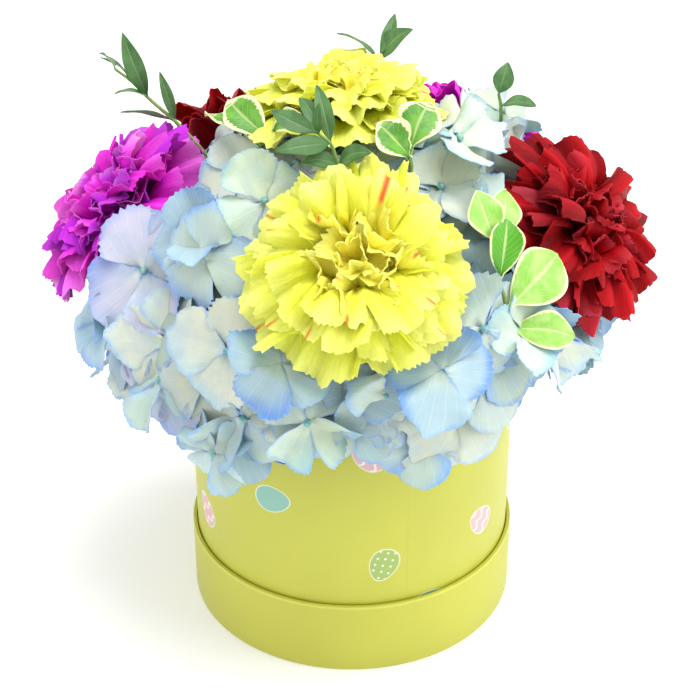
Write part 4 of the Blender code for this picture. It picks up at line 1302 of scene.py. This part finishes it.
def make_heads(settings, box, finishes, draws):
    """The sepals, beads and pedicels of all four heads: one piece of each kind for a head."""
    sepals, beads, pedicels = ({name: Sheaf() for name in HEADS} for _ in range(3))
    spots = lattice_florets(draws)
    placed = [(spot, level, LAYERS[0]) for spot, level in zip(spots, floret_levels(spots))]
    for layer in LAYERS[1:]:
        placed += [(spot, 0.0, layer) for spot in deeper_florets(layer, draws)]
    bud_points, bud_faces = bud_blank()
    rod_points, rod_faces = pedicel_blank()
    for spot, level, layer in placed:
        head = sector_of(spot.azimuth)
        over = next((name for name, floret in OVER_FLORETS.items() if floret == spot), None)
        middle, carry = floret_frame(spot, level, layer, over, draws)
        moods = HANGING_MOODS if spot.polar > HANGING_POLAR else layer.moods
        mood = MOODS[0] if spot.spin is not None else MOODS[draws.choice(4, p=moods)]
        for number in range(4):
            lift = (0.0007 if number % 2 else -0.0003) * draws.uniform(0.6, 1.3)
            turn = radians(90 * number + draws.uniform(-9, 9))
            radius = spot.radius * draws.uniform(0.92, 1.10)
            places, faces, across, along, outward = sepal(
                radius, layer.points, turn, lift, mood, draws)
            places = below_the_top(moved(places, carry), spot.reach + layer.room)
            places = clear_of_wall(press_under_blooms(places, over), box.body_radius, box.body_top)
            tint = sepal_tint(spot.tint, settings, across, along, outward, layer.shade, draws)
            sepals[head].add(places, faces, across, along, outward, tint)
        end = np.array(middle)
        if np.linalg.norm(press_under_blooms(end[None], over)[0] - end) > 0.001:
            continue
        bud = bud_points * settings.bead_radius + (0, 0, 0.0009)
        # Painted shade: the buds of the deeper layers are darkened too
        tint = np.array(settings.bead_colour) * (1 - 0.5 * layer.shade)
        beads[head].add(moved(bud, carry), bud_faces, 0.0, 0.0, draws.random(), tint)
        lowest, reach = PEDICEL_ROOT
        root = place(spot.azimuth, min(spot.polar, lowest), reach)
        rise = middle - root
        rod = rod_points * (1, 1, rise.length)
        rod[:, :2] *= settings.pedicel_radius * (1.25 - 0.4 * rod_points[:, 2:3])
        stand = Matrix.Translation(root) @ facing(rise.normalized()).to_4x4()
        pedicels[head].add(moved(rod, stand), rod_faces, 0.0, rod_points[:, 2], draws.random())
    for name in HEADS:
        florets = sepals[name].piece(f"florets_{name}", finishes["sepal"],
                                     settings.sepal_thickness)
        hand_over(florets, "hydrangea", f"hydrangea_{name}")
        hand_over(beads[name].piece(f"buds_{name}", finishes["bead"]), "hydrangea")
        hand_over(pedicels[name].piece(f"pedicels_{name}", finishes["pedicel"]), "stem")


def make_branching(settings, box, finish, draws):
    """The dense branching below the florets: a lumpy ball with a flat underside, whose dark finish
    is painted shade in the gaps between florets.
    """
    deselect()
    bpy.ops.mesh.primitive_uv_sphere_add(segments=96, ring_count=48,
                                         radius=settings.branching_reach, location=DOME)
    ball = bpy.context.object
    bpy.ops.object.transform_apply(location=True)
    bpy.ops.object.mode_set(mode="EDIT")
    bpy.ops.mesh.select_all(action="SELECT")
    bpy.ops.mesh.bisect(plane_co=(0, 0, box.body_top + 0.0012), plane_no=(0, 0, 1),
                        use_fill=True, clear_inner=True)
    bpy.ops.object.mode_set(mode="OBJECT")
    places = np.array([vertex.co for vertex in ball.data.vertices])
    from_dome = places - np.array(DOME)
    knobs = sum(np.sin(from_dome @ draws.normal(0, 420, 3) + draws.uniform(0, 6))
                for _ in range(9)) / 9
    above = smooth((places[:, 2] - box.body_top - 0.002) / 0.006)
    places += from_dome * (0.06 * knobs * above)[:, None]
    ball.data.vertices.foreach_set("co", places.astype(np.float32).ravel())
    hand_over(settle(ball, "hydrangea_branching", 60.0, finish), "stem")


def make_stalks(finish, box):
    """The woody stalk of each head, from its hole up into the branching."""
    for name, (_, foot) in HEADS.items():
        low, high = foot_place(foot, STEM_END), foot_place(foot, box.body_top + 0.001)
        points = [low.lerp(high, step / 10) for step in range(11)]
        radii = [STALK_RADIUS + STALK_KNOBS * sin(2.1 * step + foot[0]) for step in range(11)]
        hand_over(stalk(points, radii, f"stalk_{name}", finish), "stem", f"hydrangea_{name}_stalk")


# Eucalyptus and pittosporum

def leaf_outline(kind, along):
    """Half width of a leaf against its widest, at each share of its length."""
    start, skew, fullness = LEAF_SHAPE[kind]
    bulge = np.sin(pi * np.clip((along - start) / (1 - start), 0, 1) ** skew) ** fullness
    return np.maximum(bulge, 0.07 * (1 - smooth((along - 0.85) / 0.15)))


def leaf(kind, base, tip, width, roll, to_viewer, draws):
    """Points of an arched leaf from base to tip, folded a little along its midrib."""
    sheet = blank(14, 26)
    u, v = sheet.u, (sheet.v + 1) / 2
    along = (tip - base).normalized()
    out = (base.lerp(tip, 0.5) - DOME).normalized().lerp(VIEWER, to_viewer)
    side = along.cross(out).normalized()
    side.rotate(Matrix.Rotation(radians(roll), 3, along))
    out = side.cross(along)
    length = (tip - base).length
    phase = draws.uniform(0, 2 * pi, 2)
    sway = draws.uniform(-0.06, 0.06) * length * np.sin(pi * v)
    twist = draws.uniform(-0.35, 0.35) * (v - 0.3)
    across = u * (width / 2 * leaf_outline(kind, v))
    waves = LEAF_WAVE[kind] * u * u * np.sin(9 * v + phase[0] + 2 * np.sign(u))
    lift = np.abs(across) * LEAF_FOLD + waves
    lift = lift + across * np.sin(twist) + LEAF_ARCH * length * 4 * v * (1 - v)
    middle = np.array(base) + np.outer(v, np.array(tip - base))
    places = middle + np.outer(across * np.cos(twist) + sway, np.array(side))
    return places + np.outer(lift, np.array(out)), sheet.faces, u, v


def sprig_line(sprig):
    """The stem's points, from the bottom of its hole to its free end."""
    path = [place(*point) for point in sprig.path]
    start = foot_place(sprig.foot, STEM_ENTRY)
    onward = (path[1] - path[0]).normalized()
    outward = (path[0] - DOME).normalized()
    bend = path[0] - (onward + outward).normalized() * TWIG_BEND
    corners = [start, start + Vector((0, 0, TWIG_BEND)), bend, path[0]]
    line = [bezier(corners, step / 10) for step in range(10)]
    return [foot_place(sprig.foot, STEM_END), *line, *through(path, 4)]


def make_sprig(name, sprig, settings, finishes, draws):
    """One sprig: its leaves as thin blades on a tapering twig."""
    sheaf = Sheaf()
    to_viewer = 0.0 if name == "pittosporum_rear" else LEAVES_TO_VIEWER
    for number, (joint, tip, width, roll) in enumerate(sprig.leaves):
        places, faces, u, v = leaf(sprig.kind, place(*sprig.path[joint]), place(*tip),
                                   width * LEAF_WIDTH, roll, to_viewer, draws)
        mark = 0.9 if (name, number) == DARK_LEAF else draws.uniform(0.05, 0.7)
        sheaf.add(places, faces, u, v, mark)
    leaves = sheaf.piece("leaves", finishes.get(name, finishes[sprig.kind]),
                         settings.leaf_thickness, 50.0)
    line = sprig_line(sprig)
    radii = settings.twig_radius * (1.15 - 0.55 * np.linspace(0, 1, len(line)))
    piece = join(leaves, stalk(line, radii, "twig", finishes["twig"]), f"sprig_{name}")
    hand_over(piece, f"{sprig.kind}_leaf", name)


# What a user would change

def size_of(name, default, description):
    return FloatProperty(name=name, description=description, default=default, min=0.0,
                         precision=4, unit="LENGTH", subtype="DISTANCE")


def colour_of(name, code, description):
    return FloatVectorProperty(name=name, description=description, default=linear(code),
                               subtype="COLOR", min=0.0, max=1.0, size=3)


def power_of(name, default, description):
    return FloatProperty(name=name, description=description, default=default, min=0.0)


# Parts of a petal or sepal: what each adds to the name of its setting, and what it colours. A
# petal's foot colour is partly painted shade
PETAL_PARTS = {"main": ("", "Main colour"), "deep": (", foot", "Foot"), "edge": (", edge", "Edge"),
               "heart": (", heart", "Colour of the heart or a few")}
SEPAL_PARTS = {"body": ("", "Middle"), "edge": (", edge", "Edge")}


def add_colours(group, things, parts, table):
    """Adds a colour setting to a group for each part of each kind of petal or sepal."""
    for kind, codes in table.items():
        for (part, (word, what)), code in zip(parts.items(), codes.split()):
            group.__annotations__[f"{kind}_{part}"] = colour_of(
                f"{kind.capitalize()}{word}", code, f"{what} of the {kind} {things}")


class BoxSettings(PropertyGroup):
    """Sizes and colours of the paper box and its lid."""
    lid_radius: size_of("Lid radius", LID[1].x, "Outer radius of the upturned lid")
    lid_height: size_of("Lid height", LID[1].z, "Height of the lid's rim")
    body_radius: size_of("Box radius", WALL[1].x, "Outer radius of the box wall")
    body_floor: size_of("Box floor", WALL[0].z, "Height of the box's underside")
    body_top: size_of("Box top", WALL[1].z, "Height of the box's rim")
    board: size_of("Board", 0.0015, "Thickness of the paper board")
    edge: size_of("Edge", 0.00035, "Rounding of the wrapped paper edges")
    egg_size: size_of("Egg size", 0.0066, "Half the height of a printed egg")
    lid_colour: colour_of("Lid paper", "C1C13F", "Colour of the lid's paper")
    box_colour: colour_of("Box paper", "BFC03E", "Colour of the box's paper")
    egg_pink: colour_of("Pink egg", "DAB0B2", "Colour of the pink printed eggs")
    egg_teal: colour_of("Teal egg", "88BBAA", "Colour of the teal printed eggs")
    egg_green: colour_of("Green egg", "9CB65E", "Colour of the green printed eggs")


class BloomSettings(PropertyGroup):
    """Sizes and colours of the carnations."""
    petal_thickness: size_of("Petal thickness", 0.00028, "Thickness of a petal")
    tooth: size_of("Tooth", 0.0012, "Depth of the teeth along a petal's edge")
    pleat: size_of("Pleat", 0.00032, "Height of the fine pleats of a petal")
    ruffle: FloatProperty(name="Ruffle", description="How strongly the petals are ruffled",
                          default=1.0, min=0.0, max=2.0, subtype="FACTOR")


# Of each carnation: main colour, foot colour (partly painted shade), edge colour and heart colour
add_colours(BloomSettings, "petals", PETAL_PARTS, {
    "yellow": "ECF042 B4C832 FBFD9C FFF264",
    "purple": "E218CC 96008C F09CE6 A41CCC",
    "red": "A2040C 4A0006 BA3C4E 8E0410",
})


class HydrangeaSettings(PropertyGroup):
    """Sizes and colours of the hydrangea heads."""
    sepal_thickness: size_of("Sepal thickness", 0.00026, "Thickness of a sepal")
    bead_radius: size_of("Bud radius", 0.00135, "Radius of the bud in a floret's middle")
    pedicel_radius: size_of("Pedicel radius", 0.00055, "Radius of a floret's stalk")
    branching_reach: size_of("Branching", 0.070, "Radius of the branching in the middle")
    foot_colour: colour_of("Foot", "CFDEBE", "Foot of every sepal")
    rim_colour: colour_of("Rim", "6E9CE8", "Blue that gathers at the rim of the sepals")
    vein_colour: colour_of("Veins", "F2F8F4", "Veins of the sepals")
    bruise_colour: colour_of("Patches", "8DB4DC", "Patches on the sepals")
    # Painted shade: the colour that darkens the sepals of the deeper layers
    gap_shade_colour: colour_of("Depth", "7A9C8A", "Shade of the florets in the gaps")
    bead_colour: colour_of("Bud", "62A0A8", "Colour of the buds")
    bead_crown: colour_of("Bud crown", "B4D2B0", "Greenish crown of the buds")


add_colours(HydrangeaSettings, "sepals", SEPAL_PARTS, {
    "white": "D8E0CA BCD6D6", "pale": "BCD0C2 86ACE4", "blue": "A6C0CA 5480DC",
    "lavender": "C6C8DE 8E9CE0", "green": "CBDDC0 98C6C6",
})


class FoliageSettings(PropertyGroup):
    """Sizes and colours of the sprigs and stems."""
    leaf_thickness: size_of("Leaf thickness", 0.00035, "Thickness of a leaf")
    twig_radius: size_of("Twig radius", 0.0008, "Radius of a sprig's twig")
    eucalyptus: colour_of("Eucalyptus", "426E36", "Colour of the eucalyptus leaves")
    eucalyptus_young: colour_of("Eucalyptus, young", "5E8B4E", "Lighter eucalyptus patches")
    pittosporum: colour_of("Pittosporum", "4A8C20", "Green of the pittosporum leaves")
    pittosporum_young: colour_of("Pittosporum, young", "74B43A", "Lighter green patches")
    margin: colour_of("Margin", "EEF0B8", "Cream margin of the pittosporum leaves")
    stem: colour_of("Stem", "5E8F3C", "Colour of the stems")
    twig: colour_of("Twig", "8BAA5A", "Colour of the sprigs' twigs")
    pedicel: colour_of("Pedicel", "B9CFA6", "Colour of the florets' stalks")
    # Painted shade: the branching is there, but its dark grey-green stands for the shade in the
    # gaps between florets
    branching: colour_of("Branching", "4B6450", "Colour of the branching in the gaps")


class StageSettings(PropertyGroup):
    """Camera, light and floor."""
    floor_colour: FloatVectorProperty(
        name="Floor", description="Colour of the studio floor", default=(0.96, 0.96, 0.96),
        subtype="COLOR", min=0.0, max=1.0, size=3)
    lens: FloatProperty(name="Lens", description="Focal length of the camera in millimetres",
                        default=89.74, min=10.0)
    pitch: FloatProperty(name="Pitch", description="How far the camera looks down",
                         default=radians(31.08), subtype="ANGLE", unit="ROTATION")
    camera: FloatVectorProperty(name="Camera", description="Place of the camera",
                                default=(-0.00066, -0.5373, 0.4217), subtype="TRANSLATION",
                                unit="LENGTH", precision=4)
    key: power_of("Key light", 13.0, "Power of the light on the right in watts")
    fill: power_of("Fill light", 5.5, "Power of the light on the left in watts")
    top: power_of("Top light", 16.0, "Power of the light above in watts")
    front: power_of("Front light", 1.3, "Power of the light in front in watts")
    sky: power_of("Room light", 0.69, "Strength of the light from all round")


# Where each light stands, and how wide it is
LIGHTS = {"key": ((1.45, -0.4, 1.0), 1.4), "fill": ((-1.6, -0.1, 0.9), 1.6),
          "top": ((0.25, -0.05, 1.5), 1.0), "front": ((0.05, -0.95, 1.2), 0.8)}
LIT_POINT = Vector((0, 0, 0.09))


# Operators

class HATBOX_OT_lid(Operator):
    """Makes the upturned lid: a shallow paper tray with wrapped edges"""
    bl_idname = "hatbox.lid"
    bl_label = "Lid"

    def execute(self, context):
        box = context.scene.hatbox_box
        wrap = paper_finish("lid_wrap", box.lid_colour, box.lid_height - 0.0009, box.lid_radius,
                            118.0)
        lid = open_drum("lid_tray", box.lid_radius, 0.0, box.lid_height, box.board, box.edge, wrap)
        hand_over(lid, "lid_paper", "lid_rim", "lid_disc")
        return {"FINISHED"}


class HATBOX_OT_box(Operator):
    """Makes the round box, printed with small scattered eggs"""
    bl_idname = "hatbox.box"
    bl_label = "Box"

    def execute(self, context):
        box = context.scene.hatbox_box
        wrap = paper_finish("box_wrap", box.box_colour, box.body_top - 0.0009, box.body_radius,
                            -70.6, EGGS, box)
        body = open_drum("box_drum", box.body_radius, box.body_floor, box.body_top, box.board,
                         box.edge, wrap)
        hand_over(body, "box_paper", "box_wall", "box_disc")
        return {"FINISHED"}


class HATBOX_OT_filling(Operator):
    """Gives the foam block and its liner, which keep their solids, their own materials"""
    bl_idname = "hatbox.filling"
    bl_label = "Foam and liner"

    def execute(self, context):
        for node, finish in (("foam", foam_finish()), ("liner", film_finish())):
            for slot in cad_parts[node].material_slots:
                slot.material = finish
        return {"FINISHED"}


class HATBOX_OT_carnations(Operator):
    """Makes the six carnations with their calyxes and stems"""
    bl_idname = "hatbox.carnations"
    bl_label = "Carnations"

    def execute(self, context):
        settings, foliage = context.scene.hatbox_blooms, context.scene.hatbox_foliage
        finishes = {
            "yellow": petal_finish("yellow_carnation", 0.0, WHITE, 0.30, 9.0, 0.30),
            "purple": petal_finish("purple_carnation", 0.02, (1.0, 0.62, 0.95), 0.25, 7.0, 0.12),
            "red": petal_finish("red_carnation", 0.05, (1.0, 0.35, 0.38), 0.15, 7.0, 0.12),
        }
        green = stem_finish("carnation_green", foliage.stem, linear("3E6E2C"))
        for number, (name, bloom) in enumerate(BLOOMS.items()):
            draws = np.random.default_rng(20 + number)
            make_bloom(name, bloom, settings, finishes[bloom.colour], draws)
            make_bloom_stem(name, bloom, green)
        return {"FINISHED"}


class HATBOX_OT_hydrangea(Operator):
    """Makes the four hydrangea heads with their branching and stalks"""
    bl_idname = "hatbox.hydrangea"
    bl_label = "Hydrangea"

    def execute(self, context):
        scene = context.scene
        settings, foliage, box = scene.hatbox_hydrangea, scene.hatbox_foliage, scene.hatbox_box
        finishes = {
            "sepal": sepal_finish(settings),
            "bead": bead_finish(settings),
            "pedicel": stem_finish("pedicel_green", foliage.pedicel, linear("9FBC8C")),
        }
        draws = np.random.default_rng(7)
        make_heads(settings, box, finishes, draws)
        # Painted shade: the branching's dark greens stand for the shade in the gaps between florets
        bark = stem_finish("branching_green", foliage.branching, linear("33483A"), 0.6)
        make_branching(settings, box, bark, draws)
        make_stalks(stem_finish("stalk_bark", linear("6C7A4A"), linear("4E5636"), 0.6), box)
        return {"FINISHED"}


class HATBOX_OT_sprigs(Operator):
    """Makes the eucalyptus and pittosporum sprigs"""
    bl_idname = "hatbox.sprigs"
    bl_label = "Sprigs"

    def execute(self, context):
        settings = context.scene.hatbox_foliage
        finishes = {
            "eucalyptus": leaf_finish(
                "eucalyptus_blade", settings.eucalyptus, settings.eucalyptus_young,
                linear("88AA74"), 13.0, 0.30, 0.42),
            "pittosporum": leaf_finish(
                "pittosporum_blade", settings.pittosporum, settings.pittosporum_young,
                linear("C6D88A"), 9.0, 0.35, 0.36, settings.margin),
            "pittosporum_side": leaf_finish(
                "pittosporum_pale_blade", linear("8CC64C"), linear("B8DC7C"), linear("DCE8A4"),
                9.0, 0.35, 0.34, settings.margin, linear("4FA013"), 0.26),
            "twig": stem_finish("twig_green", settings.twig, linear("6E8A44")),
        }
        for number, (name, sprig) in enumerate(SPRIGS.items()):
            make_sprig(name, sprig, settings, finishes, np.random.default_rng(60 + number))
        return {"FINISHED"}


class HATBOX_OT_stage(Operator):
    """Makes the pale floor, the soft lights, the room light and the camera"""
    bl_idname = "hatbox.stage"
    bl_label = "Stage"

    def execute(self, context):
        scene, settings = context.scene, context.scene.hatbox_stage
        deselect()
        bpy.ops.mesh.primitive_plane_add(size=6.0, location=(0, 0, -0.0002))
        floor = settle(bpy.context.object, "floor", finish=floor_finish(settings.floor_colour))
        for name, (location, size) in LIGHTS.items():
            aim = (LIT_POINT - Vector(location)).to_track_quat("-Z", "Y").to_euler()
            bpy.ops.object.light_add(type="AREA", location=location, rotation=aim)
            lamp = bpy.context.object
            lamp.name = f"{name}_light"
            lamp.data.energy = getattr(settings, name)
            lamp.data.shape = "DISK"
            lamp.data.size = size
        scene.world = bpy.data.worlds.new("soft_room")
        scene.world.use_nodes = True
        sky = scene.world.node_tree.nodes["Background"]
        sky.inputs["Color"].default_value = (*WHITE, 1.0)
        sky.inputs["Strength"].default_value = settings.sky
        scene.view_settings.view_transform = "Standard"
        bpy.ops.object.camera_add(location=settings.camera,
                                  rotation=(radians(90) - settings.pitch, 0, 0))
        scene.camera = bpy.context.object
        scene.camera.data.lens = settings.lens
        scene.camera.data.sensor_width = 36.0
        return {"FINISHED"}


OPERATORS = (HATBOX_OT_lid, HATBOX_OT_box, HATBOX_OT_filling, HATBOX_OT_carnations,
             HATBOX_OT_hydrangea, HATBOX_OT_sprigs, HATBOX_OT_stage)
SETTINGS = {
    "hatbox_box": BoxSettings, "hatbox_blooms": BloomSettings,
    "hatbox_hydrangea": HydrangeaSettings, "hatbox_foliage": FoliageSettings,
    "hatbox_stage": StageSettings,
}


class HATBOX_PT_panel(Panel):
    """Lists the pieces, and the sizes and colours that they are made with"""
    bl_idname = "HATBOX_PT_panel"
    bl_label = "Flower hat box"
    bl_space_type = "VIEW_3D"
    bl_region_type = "UI"
    bl_category = "Hat box"

    def draw(self, context):
        for step in OPERATORS:
            self.layout.operator(step.bl_idname)
        for name, group in SETTINGS.items():
            box = self.layout.box()
            for setting in group.__annotations__:
                box.prop(getattr(context.scene, name), setting)


def register():
    for name, group in SETTINGS.items():
        bpy.utils.register_class(group)
        setattr(bpy.types.Scene, name, PointerProperty(type=group))
    for kind in (*OPERATORS, HATBOX_PT_panel):
        bpy.utils.register_class(kind)


def unregister():
    for kind in (HATBOX_PT_panel, *reversed(OPERATORS)):
        bpy.utils.unregister_class(kind)
    for name, group in SETTINGS.items():
        delattr(bpy.types.Scene, name)
        bpy.utils.unregister_class(group)


def main():
    register()
    bpy.ops.hatbox.lid()
    bpy.ops.hatbox.box()
    bpy.ops.hatbox.filling()
    bpy.ops.hatbox.carnations()
    bpy.ops.hatbox.hydrangea()
    bpy.ops.hatbox.sprigs()
    bpy.ops.hatbox.stage()
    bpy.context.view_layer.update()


if __name__ == "__main__":
    main()
